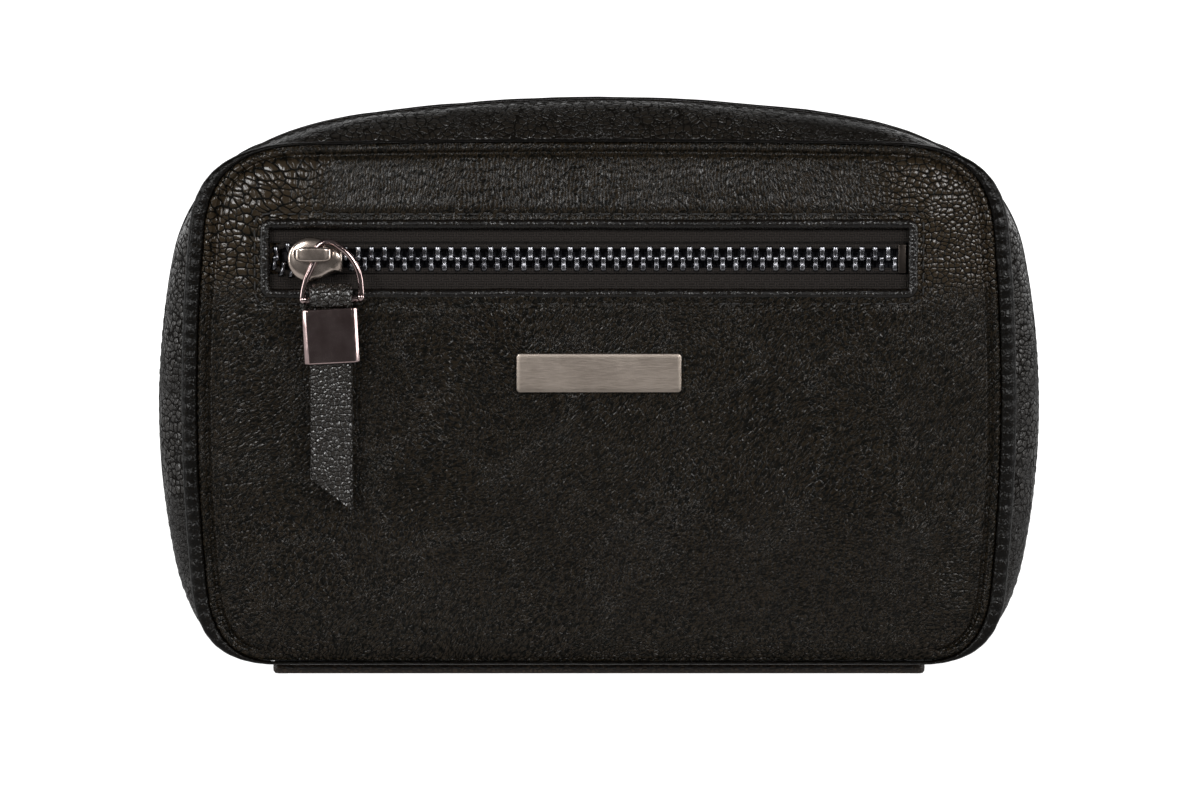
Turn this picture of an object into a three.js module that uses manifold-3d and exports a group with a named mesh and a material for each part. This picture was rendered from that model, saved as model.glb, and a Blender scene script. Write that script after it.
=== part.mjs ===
// A zip-around carrying case for a glucose meter, in black leather, standing on its spine strip.
// Millimetres, +Z up, the front faces -Y and +X is to the right. The origin is under the middle of the case.
import * as THREE from 'three';
import { mergeVertices } from 'three/addons/utils/BufferGeometryUtils.js';
import Module from 'manifold-3d';

const wasm = await Module();
wasm.setup();

// Gaps
const layerGap = 0.3;
const runGap = 0.3;
const cutOverrun = 2;

// Whole case
const caseHalfDepth = 25;
const ridgeHalfWidth = 77.2;
const ridgeHeight = 100.2;
const sideBulge = 8.45;
const topBulge = 7.6;
const footBulge = 0.8;

// Outline of the ridge round each panel
const ridgeSideCrown = 1.7;
const ridgeTopCrown = 0.6;
const ridgeShoulderDrop = 16;
const ridgeShoulderRun = 19;
const ridgeHeelRise = 14;
const ridgeHeelRun = 13;

// Outline of the waist, the widest loop, where the main zip runs
const waistSideCrown = 3;
const waistTopCrown = 3.3;
const waistShoulderDrop = 30;
const waistShoulderRun = 36;
const waistHeelRise = 19;
const waistHeelRun = 18.4;

// Spine strip
const spineHalfLength = 63.4;
const spineHalfWidth = 15.5;
const spineThickness = 2.2;
const spineEndRadius = 1.9;
const spineLiningThickness = 0.7;
const spineLiningEndRoom = 4;

// Panel layers
const leather = 1.2;
const panelRise = 3.4;
const panelRun = 36;
const foamDepth = 1.9;
const boardThickness = 1.2;
const liningThickness = 0.6;
const boardInset = 3.2;

// Welt, gusset, binding
const weltWidth = 3;
const weltNarrowShare = 0.2;
const weltDepth = 2;
const gussetLeather = 1.5;
const sideLining = 1.8;
const bindingWidth = 1.7;
const bindingProud = 0.1;
const bareZipHalfWidth = 4.9;

// Main zip
const mainTapeThickness = 0.5;
const mainTapeWidth = 5.2;
const chainWidth = 2.3;
const chainThickness = 1.9;
const mainPlateLength = 9;
const mainPlateHalfWidth = 4.2;
const mainPlateThickness = 1.1;
const mainBridgeWidth = 2.4;
const mainBridgeGap = 1.3;
const mainBridgeThickness = 0.7;
const mainBridgeLength = 6.4;
const mainTabLength = 10;
const mainTabWidth = 4.6;
const mainTabThickness = 0.7;
const mainTabRod = 0.7;
const mainSliderHeight = 36;

// Outside pocket
const slotSideRoom = 16.1;
const slotHalfHeight = 5.75;
const slotMiddle = -1.9;
const slotDrop = 22.2;
const lipWidth = 1.9;
const lipThickness = 1.5;
const lipProud = 0.1;
const slotCrownShare = 0.93;
const lipFillet = 0.5;
const pocketTapeThickness = 0.6;
const pocketTapeLap = 2.4;
const pocketTapeDepth = 2.2;
const bagThickness = 1.6;
const bagSheet = 0.5;
const bagMargin = 16;

// Metal teeth of the outside pocket
const toothPitch = 2.54;
const toothLength = 1.15;
const toothReach = 0.45;
const toothRoot = 1.6;
const toothDepth = 2;
const cordWidth = 1.2;
const spreadTeeth = 1;
const spreadRise = 0.7;
const stopLength = 1.6;

// Pocket slider
const sliderEndRoom = 3.5;
const sliderLength = 10.5;
const sliderHalfHead = 4.3;
const sliderHalfTail = 2.3;
const sliderPlate = 3;
const sliderFlange = 0.8;
const sliderFlangeLength = 4;
const bridgeLength = 7.6;
const bridgeHeight = 2.9;
const bridgePostHeight = 1.6;
const bridgePostLength = 0.9;
const bridgeThickness = 1;
const bridgeSetBack = 5.1;
const bridgeRise = 1.15;

// Pull
const wireRadius = 0.6;
const ringPlay = 0.5;
const ringLength = 8.9;
const pinDropShare = 0.97;
const pinMiddleShare = 0.37;
const strapWidth = 8.1;
const strapLayer = 1.1;
const strapLayerGap = 0.3;
const strapLength = 40.5;
const strapSlant = 6.2;
const strapLoopRise = 0.8;
const ferruleSide = 10.5;
const ferruleWall = 0.6;
const ferruleDrop = 6.95;
const ferruleTilt = 3;
const pinPlay = 0.35;

// Nameplate
const plateWidth = 31.6;
const plateHeight = 7.5;
const plateThickness = 0.5;
const plateSeat = 0.1;
const plateMiddleHeight = 59.5;
const plateCorner = 0.6;

// Things inside
const padWidth = 44;
const padHeight = 60;
const padThickness = 1.2;
const padSideRoom = 25.2;
const bandHeight = 20;
const bandThickness = 0.8;
const bandEnd = 5;
const loopBand = 1;
const loopFoot = 4;
const lancingHalfWidth = 8;
const vialHalfWidth = 12;
const lancingHeight = 18;
const vialHeight = 22;
const lancingSideRoom = 57.2;
const vialSideRoom = 27.2;
const insideMiddle = 52;
const meshThickness = 0.5;
const meshTop = 58;
const meshMargin = 9;
const meshBinding = 3;
const meshBindingThickness = 0.9;

// Steps round the curves
const sideSteps = 6;
const topSteps = 8;
const footSteps = 4;
const cornerSteps = 6;
const wireSides = 8;
const ringSteps = 40;
const arcSteps = 12;

// Depths from the middle of the case out to each panel
const panelRim = caseHalfDepth - panelRise;
const panelBack = panelRim - leather;
const foamBack = caseHalfDepth - leather - layerGap - foamDepth;
const bagBack = foamBack - layerGap - bagThickness;
const boardBack = bagBack - layerGap - boardThickness;
const liningBack = boardBack - layerGap - liningThickness;
const bindingOut = bareZipHalfWidth + bindingWidth;
const gussetEnd = bindingOut + layerGap;

// Depths inward from the outside of the waist
const sideLiningInset = gussetLeather + layerGap;
const tapeInset = sideLiningInset + sideLining + layerGap;
const chainInset = tapeInset + (mainTapeThickness - chainThickness) / 2;
const chainStart = layerGap;
const tapeStart = chainStart + chainWidth + layerGap;
const mainPlateInset = chainInset - runGap - mainPlateThickness;

// Heights
const waistLow = spineThickness + layerGap;
const ridgeLow = waistLow + footBulge;
const ridgeHigh = ridgeLow + ridgeHeight;
const waistHigh = ridgeHigh + topBulge;
const waistHalfWidth = ridgeHalfWidth + sideBulge;
const ridgeMiddle = (ridgeLow + ridgeHigh) / 2;
const slotHeight = ridgeHigh - slotDrop;

// Places along the pocket slot
const slotHalfLength = ridgeHalfWidth - slotSideRoom;
const slotLeft = slotMiddle - slotHalfLength;
const slotRight = slotMiddle + slotHalfLength;
const sliderHead = slotLeft + sliderEndRoom;
const bridgeMiddle = sliderHead + bridgeSetBack;

// Materials
function material(colour, roughness, metalness) {
  return new THREE.MeshStandardMaterial({ color: colour, roughness, metalness });
}
const leatherLook = () => material(0x1d1a19, 0.45, 0);
const bindingLook = () => material(0x141211, 0.5, 0);
const foamLook = () => material(0x4a4a4a, 0.95, 0);
const boardLook = () => material(0x6b5a45, 0.9, 0);
const clothLook = () => material(0x1b1b1f, 0.9, 0);
const tapeLook = () => material(0x28211c, 0.9, 0);
const toothLook = () => material(0x6a6664, 0.3, 1);
const sliderLook = () => material(0x4b4745, 0.22, 1);
const plateLook = () => material(0x9e928a, 0.35, 1);

const glucoseCase = new THREE.Group();

function piece(name, geometry, look, parent = glucoseCase) {
  const mesh = new THREE.Mesh(geometry, look);
  mesh.name = name;
  parent.add(mesh);
  return mesh;
}

// Solids

function toSolid(geometry) {
  const bare = geometry.clone();
  bare.deleteAttribute('normal');
  bare.deleteAttribute('uv');
  const merged = mergeVertices(bare);
  const vertProperties = Float32Array.from(merged.attributes.position.array);
  const triVerts = Uint32Array.from(merged.index.array);
  return new wasm.Manifold(new wasm.Mesh({ numProp: 3, vertProperties, triVerts }));
}

function toGeometry(solid) {
  const { vertProperties, triVerts } = solid.getMesh();
  const geometry = new THREE.BufferGeometry();
  geometry.setAttribute('position', new THREE.BufferAttribute(Float32Array.from(vertProperties), 3));
  geometry.setIndex(new THREE.BufferAttribute(Uint32Array.from(triVerts), 1));
  geometry.computeVertexNormals();
  return geometry;
}

function joined(...geometries) {
  return toGeometry(geometries.map(toSolid).reduce((a, b) => a.add(b)));
}

function cut(geometry, ...tools) {
  return toGeometry(tools.map(toSolid).reduce((a, b) => a.subtract(b), toSolid(geometry)));
}

// A box between two corners
function block(x0, x1, y0, y1, z0, z1) {
  const box = new THREE.BoxGeometry(x1 - x0, Math.abs(y1 - y0), z1 - z0);
  box.translate((x0 + x1) / 2, (y0 + y1) / 2, (z0 + z1) / 2);
  return box;
}

// The volume under each face, summed: it is negative where the faces point in.
function volumeOf(points, index) {
  const [a, b, c] = [new THREE.Vector3(), new THREE.Vector3(), new THREE.Vector3()];
  let sum = 0;
  for (let i = 0; i < index.length; i += 3) {
    a.fromArray(points, index[i] * 3);
    b.fromArray(points, index[i + 1] * 3);
    c.fromArray(points, index[i + 2] * 3);
    sum += a.dot(b.cross(c));
  }
  return sum;
}

// Loops of equal length joined in order: a ring if the last meets the first, and otherwise capped at both ends.
function loft(loops, closed) {
  const count = loops[0].length;
  const points = loops.flat().flatMap((p) => [p.x, p.y, p.z]);
  const index = [];
  const joins = closed ? loops.length : loops.length - 1;
  for (let i = 0; i < joins; i += 1) {
    const here = i * count;
    const next = ((i + 1) % loops.length) * count;
    for (let j = 0; j < count; j += 1) {
      const k = (j + 1) % count;
      index.push(here + j, next + j, next + k);
      index.push(here + j, next + k, here + k);
    }
  }
  if (!closed) {
    const last = (loops.length - 1) * count;
    for (let j = 1; j < count - 1; j += 1) {
      index.push(0, j, j + 1);
      index.push(last, last + j + 1, last + j);
    }
  }
  if (volumeOf(points, index) < 0) index.reverse();
  const geometry = new THREE.BufferGeometry();
  geometry.setAttribute('position', new THREE.Float32BufferAttribute(points, 3));
  geometry.setIndex(index);
  geometry.computeVertexNormals();
  return geometry;
}

// Outlines, seen from the front, as points (x, height)

function crossing(p, q, r, s) {
  const u = q.clone().sub(p);
  const v = s.clone().sub(r);
  const t = r.clone().sub(p).cross(v) / u.cross(v);
  return p.clone().addScaledVector(u, t);
}

function outline(size) {
  const { halfWidth, low, high, sideCrown, topCrown, shoulderDrop, shoulderRun, heelRise, heelRun } = size;
  const sideX = halfWidth - sideCrown;
  const heelSide = new THREE.Vector2(sideX, low + heelRise);
  const heelFoot = new THREE.Vector2(sideX - heelRun, low);
  const shoulderSide = new THREE.Vector2(sideX, high - shoulderDrop);
  const shoulderTop = new THREE.Vector2(sideX - shoulderRun, high - topCrown);
  const sideControl = new THREE.Vector2(halfWidth + sideCrown, (heelSide.y + shoulderSide.y) / 2);
  const topControl = new THREE.Vector2(0, high + topCrown);
  const flat = new THREE.Vector2(0, low);
  const heelControl = crossing(heelSide, sideControl, heelFoot, flat);
  const shoulderControl = crossing(shoulderSide, sideControl, shoulderTop, topControl);
  const mirror = (p) => new THREE.Vector2(-p.x, p.y);
  const curve = (a, b, c, steps) => new THREE.QuadraticBezierCurve(a, b, c).getPoints(steps).slice(0, -1);
  return [
    ...curve(mirror(heelFoot), flat, heelFoot, footSteps),
    ...curve(heelFoot, heelControl, heelSide, cornerSteps),
    ...curve(heelSide, sideControl, shoulderSide, sideSteps),
    ...curve(shoulderSide, shoulderControl, shoulderTop, cornerSteps),
    ...curve(shoulderTop, topControl, mirror(shoulderTop), topSteps),
    ...curve(mirror(shoulderTop), mirror(shoulderControl), mirror(shoulderSide), cornerSteps),
    ...curve(mirror(shoulderSide), mirror(sideControl), mirror(heelSide), sideSteps),
    ...curve(mirror(heelSide), mirror(heelControl), mirror(heelFoot), cornerSteps),
  ];
}

const ridge = outline({
  halfWidth: ridgeHalfWidth,
  low: ridgeLow,
  high: ridgeHigh,
  sideCrown: ridgeSideCrown,
  topCrown: ridgeTopCrown,
  shoulderDrop: ridgeShoulderDrop,
  shoulderRun: ridgeShoulderRun,
  heelRise: ridgeHeelRise,
  heelRun: ridgeHeelRun,
});
const waist = outline({
  halfWidth: waistHalfWidth,
  low: waistLow,
  high: waistHigh,
  sideCrown: waistSideCrown,
  topCrown: waistTopCrown,
  shoulderDrop: waistShoulderDrop,
  shoulderRun: waistShoulderRun,
  heelRise: waistHeelRise,
  heelRun: waistHeelRun,
});

function blend(share) {
  return ridge.map((p, i) => p.clone().lerp(waist[i], share));
}

// Each point moved square to the outline, inward for a positive inset
function inset(points, distance) {
  return points.map((p, i) => {
    const before = points[(i + points.length - 1) % points.length];
    const after = points[(i + 1) % points.length];
    const along = after.clone().sub(before).normalize();
    const reach = typeof distance === 'function' ? distance(Math.abs(along.y)) : distance;
    return new THREE.Vector2(p.x - along.y * reach, p.y + along.x * reach);
  });
}

// The ridge drawn in evenly toward the middle of the panel
function drawnIn(distance) {
  const halfHeight = (ridgeHigh - ridgeLow) / 2;
  const acrossShare = 1 - distance / ridgeHalfWidth;
  const upShare = 1 - distance / halfHeight;
  return ridge.map((p) => new THREE.Vector2(p.x * acrossShare, ridgeMiddle + (p.y - ridgeMiddle) * upShare));
}

// The front half lies toward -Y and the rear half toward +Y.
function at(points, depth, side) {
  return points.map((p) => new THREE.Vector3(p.x, side * depth, p.y));
}

// A flat sheet with the ridge's shape
function sheet(distance, near, far, side) {
  return loft([at(drawnIn(distance), near, side), at(drawnIn(distance), far, side)], false);
}

// How the panel rises from its rim: shares of its run inward and of its rise
const crownShares = [
  [0, 0],
  [0.03, 0.28],
  [0.1, 0.5],
  [0.2, 0.74],
  [0.3, 0.87],
  [0.5, 0.95],
  [1, 1],
];

// How the gusset runs from the ridge out to the waist: shares of the bulge and of its depth
const gussetShares = [
  [0.1, 0],
  [0.45, 0.14],
  [0.78, 0.42],
  [0.95, 0.72],
  [1, 1],
];
const sideLiningShares = [
  [0.5, 0.16],
  [0.8, 0.45],
  [0.96, 0.74],
  [1, 1],
];

function crownLoop([runShare, riseShare], cover, side) {
  const distance = cover + runShare * (panelRun - cover);
  return at(drawnIn(distance), panelRim + riseShare * panelRise - cover, side);
}

function panelSkin(side) {
  const outside = crownShares.map((share) => crownLoop(share, 0, side));
  const inside = crownShares.map((share) => crownLoop(share, leather, side)).reverse();
  return loft([...inside, at(drawnIn(0), panelBack, side), ...outside], false);
}

const foamStart = 3;

function panelFoam(side) {
  const cover = leather + layerGap;
  const front = crownShares.slice(foamStart).map((share) => crownLoop(share, cover, side));
  const edge = cover + crownShares[foamStart][0] * (panelRun - cover);
  return loft([at(drawnIn(edge), foamBack, side), ...front], false);
}

// A ring whose section is given as rows of [outline, depth]
function ring(rows, side) {
  return loft(
    rows.map(([points, depth]) => at(points, depth, side)),
    true,
  );
}

function wall(shares, near, thickness, side) {
  const start = panelBack - layerGap;
  const rows = shares.map(([bulge, along]) => [blend(bulge), start + along * (gussetEnd - start)]);
  const outer = rows.map(([points, depth]) => [inset(points, near), depth]);
  const inner = rows.map(([points, depth]) => [inset(points, near + thickness), depth]).reverse();
  return ring([...outer, ...inner], side);
}

function welt(side) {
  const bevel = weltDepth / 4;
  const outerDepth = panelBack + weltDepth;
  // The welt is broad along the sides and narrow along the top and the foot.
  const out = (share) => (sideways) => {
    const width = weltWidth * (weltNarrowShare + (1 - weltNarrowShare) * sideways ** 2);
    return -layerGap - share * width;
  };
  return ring(
    [
      [inset(ridge, out(0)), panelBack],
      [inset(ridge, out(0)), outerDepth - bevel],
      [inset(ridge, out(1 / 3)), outerDepth],
      [inset(ridge, out(2 / 3)), outerDepth],
      [inset(ridge, out(1)), outerDepth - bevel],
      [inset(ridge, out(2 / 3)), panelBack],
    ],
    side,
  );
}

// The main zip's path, from the right heel up over the top and down to the left heel
const zipFirst = footSteps + 1;
const zipLast = waist.length - 1;

// A strip along the zip's path, of a section given as [inset, depth] corners
function strip(corners, side) {
  const rails = corners.map(([distance, depth]) => at(inset(waist, distance), depth, side));
  const sections = [];
  for (let i = zipFirst; i <= zipLast; i += 1) sections.push(rails.map((rail) => rail[i]));
  return loft(sections, false);
}

function stripBox(near, thickness, start, width, side) {
  const far = near + thickness;
  const end = start + width;
  return strip(
    [
      [near, start],
      [far, start],
      [far, end],
      [near, end],
    ],
    side,
  );
}

// Both halves
for (const [half, side] of [
  ['front', -1],
  ['rear', 1],
]) {
  piece(`${half}_welt`, welt(side), bindingLook());
  piece(`${half}_gusset`, wall(gussetShares, 0, gussetLeather, side), leatherLook());
  piece(`${half}_gusset_lining`, wall(sideLiningShares, sideLiningInset, sideLining, side), clothLook());
  const bindingDepth = sideLiningInset + sideLining + bindingProud;
  piece(
    `${half}_edge_binding`,
    stripBox(-bindingProud, bindingDepth, bareZipHalfWidth, bindingWidth, side),
    bindingLook(),
  );
  piece(`main_zip_tape_${half}`, stripBox(tapeInset, mainTapeThickness, tapeStart, mainTapeWidth, side), tapeLook());
  piece(`main_zip_chain_${half}`, stripBox(chainInset, chainThickness, chainStart, chainWidth, side), toothLook());
  piece(`${half}_board`, sheet(boardInset, boardBack, boardBack + boardThickness, side), boardLook());
  piece(`${half}_lining`, sheet(boardInset, liningBack, liningBack + liningThickness, side), clothLook());
}
piece('rear_panel', panelSkin(1), leatherLook());
piece('rear_foam', panelFoam(1), foamLook());

// Front panel with the slot of the outside pocket
const slotLow = slotHeight - slotHalfHeight;
const slotHigh = slotHeight + slotHalfHeight;
const lipRoom = lipWidth + layerGap;
const front = -caseHalfDepth;

function slotTool(margin) {
  const outer = front - cutOverrun;
  return block(slotLeft - margin, slotRight + margin, outer, 0, slotLow - margin, slotHigh + margin);
}

piece('front_panel', cut(panelSkin(-1), slotTool(lipRoom)), leatherLook());
piece('front_foam', cut(panelFoam(-1), slotTool(pocketTapeLap + layerGap)), foamLook());

// Lips: strips with a rounded front, round the slot
const lipFront = front - lipProud + (1 - slotCrownShare) * panelRise;
const lipBack = lipFront + lipThickness;

const swapped = new THREE.Matrix4().makeBasis(
  new THREE.Vector3(0, 0, 1),
  new THREE.Vector3(0, 1, 0),
  new THREE.Vector3(1, 0, 0),
);

// A mirrored geometry has its faces pointing in, so their order is reversed.
function turnedOut(geometry) {
  const merged = geometry.clone();
  merged.deleteAttribute('normal');
  merged.deleteAttribute('uv');
  const closed = mergeVertices(merged);
  closed.setIndex(Array.from(closed.index.array).reverse());
  closed.computeVertexNormals();
  return closed;
}

function lip(x0, x1, z0, z1) {
  const shape = new THREE.Shape();
  const upright = z1 - z0 > x1 - x0;
  const [near, far] = upright ? [x0, x1] : [z0, z1];
  const [start, end] = upright ? [z0, z1] : [x0, x1];
  shape.moveTo(near, lipBack);
  shape.lineTo(near, lipFront + lipFillet);
  shape.quadraticCurveTo(near, lipFront, near + lipFillet, lipFront);
  shape.lineTo(far - lipFillet, lipFront);
  shape.quadraticCurveTo(far, lipFront, far, lipFront + lipFillet);
  shape.lineTo(far, lipBack);
  shape.closePath();
  const geometry = new THREE.ExtrudeGeometry(shape, { depth: end - start, bevelEnabled: false, curveSegments: 3 });
  geometry.translate(0, 0, start);
  if (upright) return geometry;
  geometry.applyMatrix4(swapped);
  return turnedOut(geometry);
}

piece('pocket_lip_upper', lip(slotLeft - lipWidth, slotRight + lipWidth, slotHigh, slotHigh + lipWidth), leatherLook());
piece('pocket_lip_lower', lip(slotLeft - lipWidth, slotRight + lipWidth, slotLow - lipWidth, slotLow), leatherLook());
const lipEndLow = slotLow + layerGap;
const lipEndHigh = slotHigh - layerGap;
piece('pocket_lip_left', lip(slotLeft - lipWidth, slotLeft, lipEndLow, lipEndHigh), leatherLook());
piece('pocket_lip_right', lip(slotRight, slotRight + lipWidth, lipEndLow, lipEndHigh), leatherLook());

// Zip of the outside pocket
const tapeFront = front + pocketTapeDepth;
const tapeBack = tapeFront + pocketTapeThickness;
const chainHalf = toothRoot + cordWidth;
const tapeEdge = chainHalf + layerGap;
const tapeReach = slotHalfHeight + pocketTapeLap;
const tapeLeft = slotLeft - pocketTapeLap;
const tapeRight = slotRight + pocketTapeLap;
piece(
  'pocket_zip_tape_upper',
  block(tapeLeft, tapeRight, tapeFront, tapeBack, slotHeight + tapeEdge, slotHeight + tapeReach),
  tapeLook(),
);
piece(
  'pocket_zip_tape_lower',
  block(tapeLeft, tapeRight, tapeFront, tapeBack, slotHeight - tapeReach, slotHeight - tapeEdge),
  tapeLook(),
);

// A row of teeth on its cord, drawn flat and given the depth of a tooth. up is 1 for the upper row and -1 for the
// lower.
const toothFront = (tapeFront + tapeBack - toothDepth) / 2;
const firstTooth = sliderHead - spreadTeeth * toothPitch;
const stopRight = slotRight - layerGap;
const lastTooth = stopRight - stopLength - layerGap - toothLength;

function toothRow(up) {
  const shift = up > 0 ? 0 : toothPitch / 2;
  const shape = new THREE.Shape();
  const height = (z) => slotHeight + up * z;
  shape.moveTo(firstTooth, height(chainHalf));
  shape.lineTo(firstTooth, height(toothRoot));
  for (let x = firstTooth + shift; x + toothLength < lastTooth; x += toothPitch) {
    const spread = x < sliderHead ? spreadRise : 0;
    if (x > firstTooth) shape.lineTo(x, height(toothRoot));
    shape.lineTo(x, height(spread - toothReach));
    shape.lineTo(x + toothLength, height(spread - toothReach));
    shape.lineTo(x + toothLength, height(toothRoot));
  }
  shape.lineTo(lastTooth, height(toothRoot));
  shape.lineTo(lastTooth, height(chainHalf));
  shape.closePath();
  const geometry = new THREE.ExtrudeGeometry(shape, { depth: toothDepth, bevelEnabled: false });
  geometry.rotateX(Math.PI / 2);
  geometry.translate(0, toothFront + toothDepth, 0);
  return geometry;
}

piece('pocket_teeth_upper', toothRow(1), toothLook());
piece('pocket_teeth_lower', toothRow(-1), toothLook());
piece(
  'pocket_zip_stop',
  block(stopRight - stopLength, stopRight, toothFront, toothFront + toothDepth, slotHeight - chainHalf,
    slotHeight + chainHalf),
  toothLook(),
);

// Bag of the outside pocket: two sheets joined at the sides and the bottom, with its mouth behind the zip
const bagLeft = -ridgeHalfWidth + bagMargin;
const bagRight = ridgeHalfWidth - bagMargin;
const bagLow = ridgeLow + bagMargin;
const bagHigh = ridgeHigh - bagMargin / 2;
const bagOuter = block(bagLeft, bagRight, -bagBack - bagThickness, -bagBack, bagLow, bagHigh);
const bagRoom = block(
  bagLeft + bagSheet,
  bagRight - bagSheet,
  -bagBack - bagThickness + bagSheet,
  -bagBack - bagSheet,
  bagLow + bagSheet,
  bagHigh - bagSheet,
);
const bagMouth = block(
  bagLeft + bagMargin / 2,
  bagRight - bagMargin / 2,
  -bagBack - bagThickness - cutOverrun,
  -bagBack - bagThickness / 2,
  slotHeight - chainHalf,
  slotHeight + chainHalf,
);
piece('pocket_bag', cut(bagOuter, bagRoom, bagMouth), clothLook());

// Nameplate, bare
function roundedPlate(width, height, radius, thickness) {
  const shape = new THREE.Shape();
  const [w, h] = [width / 2, height / 2];
  shape.moveTo(-w + radius, -h);
  shape.lineTo(w - radius, -h);
  shape.quadraticCurveTo(w, -h, w, -h + radius);
  shape.lineTo(w, h - radius);
  shape.quadraticCurveTo(w, h, w - radius, h);
  shape.lineTo(-w + radius, h);
  shape.quadraticCurveTo(-w, h, -w, h - radius);
  shape.lineTo(-w, -h + radius);
  shape.quadraticCurveTo(-w, -h, -w + radius, -h);
  const geometry = new THREE.ExtrudeGeometry(shape, { depth: thickness, bevelEnabled: false, curveSegments: 3 });
  geometry.rotateX(Math.PI / 2);
  return geometry;
}

const namePlate = piece('name_plate', roundedPlate(plateWidth, plateHeight, plateCorner, plateThickness), plateLook());
namePlate.position.set(0, front - plateSeat, plateMiddleHeight);

// Pocket slider: a shield over the teeth, with two flanges behind it
const sliderBack = toothFront - runGap;
const sliderFront = sliderBack - sliderPlate;
const sliderTail = sliderHead + sliderLength;

const headMiddle = sliderHead + sliderHalfHead;

// A round head, drawn in to a narrow tail
function shield() {
  const shape = new THREE.Shape();
  const bend = (sliderTail - headMiddle) / 2;
  const near = sliderTail - bend;
  const far = headMiddle + bend;
  shape.moveTo(sliderTail, -sliderHalfTail);
  shape.lineTo(sliderTail, sliderHalfTail);
  shape.bezierCurveTo(near, sliderHalfTail, far, sliderHalfHead, headMiddle, sliderHalfHead);
  shape.absarc(headMiddle, 0, sliderHalfHead, Math.PI / 2, -Math.PI / 2, false);
  shape.bezierCurveTo(far, -sliderHalfHead, near, -sliderHalfTail, sliderTail, -sliderHalfTail);
  const geometry = new THREE.ExtrudeGeometry(shape, { depth: sliderPlate, bevelEnabled: false, curveSegments: 8 });
  geometry.rotateX(Math.PI / 2);
  geometry.translate(0, sliderBack, slotHeight);
  return geometry;
}

function flange(up) {
  const start = headMiddle - sliderFlangeLength / 3;
  const near = slotHeight + up * (chainHalf + runGap);
  const far = near + up * sliderFlange;
  const [low, high] = up > 0 ? [near, far] : [far, near];
  const behind = tapeFront - runGap;
  return block(start, start + sliderFlangeLength, sliderBack - sliderPlate / 2, behind, low, high);
}

piece('pocket_slider_body', joined(shield(), flange(1), flange(-1)), sliderLook());

// Bridge of the slider: a bar on two posts, with the ring's wire under it
const wirePlane = sliderFront - ringPlay - wireRadius;
const bridgeBack = wirePlane - wireRadius - ringPlay;
const bridgeFront = bridgeBack - bridgeThickness;
const bridgeLeft = bridgeMiddle - bridgeLength / 2;
const bridgeRight = bridgeMiddle + bridgeLength / 2;
const bridgeAxis = slotHeight + bridgeRise;
const barLow = bridgeAxis - bridgeHeight / 2;
const barHigh = bridgeAxis + bridgeHeight / 2;
const postLow = bridgeAxis - bridgePostHeight / 2;
const postHigh = bridgeAxis + bridgePostHeight / 2;
const postFoot = sliderFront - layerGap / 2;
piece(
  'pocket_slider_bridge',
  joined(
    block(bridgeLeft, bridgeRight, bridgeFront, bridgeBack, barLow, barHigh),
    block(bridgeLeft, bridgeLeft + bridgePostLength, bridgeBack - bridgeThickness / 2, postFoot, postLow, postHigh),
    block(bridgeRight - bridgePostLength, bridgeRight, bridgeBack - bridgeThickness / 2, postFoot, postLow, postHigh),
  ),
  sliderLook(),
);

// Pull ring: a D of wire. Its places are shares of its length, measured from the middle of the bridge, and its
// lowest run is the pin.
const ringShares = [
  [-0.22, -1],
  [-0.17, -0.58],
  [-0.1, -0.41],
  [0, -0.18],
  [0.1, 0.16],
  [0.25, 0.25],
  [0.39, 0.25],
  [0.54, 0.16],
  [0.72, 0.02],
  [0.87, -0.18],
  [0.97, -0.41],
  [1.01, -0.65],
  [1, -0.93],
  [0.88, -0.96],
  [-0.06, -1],
];

function wireRing() {
  const corners = ringShares.map(
    ([x, z]) => new THREE.Vector3(bridgeMiddle + x * ringLength, wirePlane, bridgeAxis + z * ringLength),
  );
  const path = new THREE.CatmullRomCurve3(corners, true, 'centripetal');
  const sections = [];
  for (let i = 0; i < ringSteps; i += 1) {
    const middle = path.getPointAt(i / ringSteps);
    const along = path.getTangentAt(i / ringSteps);
    const across = new THREE.Vector3(-along.z, 0, along.x);
    const section = [];
    for (let j = 0; j < wireSides; j += 1) {
      const turn = (2 * Math.PI * j) / wireSides;
      const p = middle.clone().addScaledVector(across, Math.cos(turn) * wireRadius);
      p.y += Math.sin(turn) * wireRadius;
      section.push(p);
    }
    sections.push(section);
  }
  return loft(sections, true);
}

piece('pull_ring', wireRing(), sliderLook());

// Pull strap: one strip of leather folded over the pin, in the flat of its edge, and cut aslant at its end
const pinX = bridgeMiddle + pinMiddleShare * ringLength;
const pinHeight = bridgeAxis - pinDropShare * ringLength;
const strapLow = pinHeight - strapLength;
const strapLeft = pinX - strapWidth / 2;
const strapRight = pinX + strapWidth / 2;
const strapHalf = strapLayerGap / 2 + strapLayer;

function fold(radius, half) {
  const start = -Math.acos(half / radius);
  const points = [];
  for (let i = 0; i <= arcSteps; i += 1) {
    const turn = start + ((Math.PI - 2 * start) * i) / arcSteps;
    const rise = Math.sin(turn) > 0 ? strapLoopRise : 0;
    points.push([radius * Math.cos(turn), radius * Math.sin(turn) + rise]);
  }
  return points;
}

function strapBody() {
  const drop = -strapLength;
  const inside = wireRadius + pinPlay;
  const outer = [[strapHalf, drop], ...fold(inside + strapLayer, strapHalf), [-strapHalf, drop]];
  const inner = [[strapLayerGap / 2, drop], ...fold(inside, strapLayerGap / 2), [-strapLayerGap / 2, drop]];
  const edge = [...outer, ...inner.reverse()];
  const loops = [strapLeft, strapRight].map((x) =>
    edge.map(([y, z]) => new THREE.Vector3(x, wirePlane + y, pinHeight + z)),
  );
  return loops;
}

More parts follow.
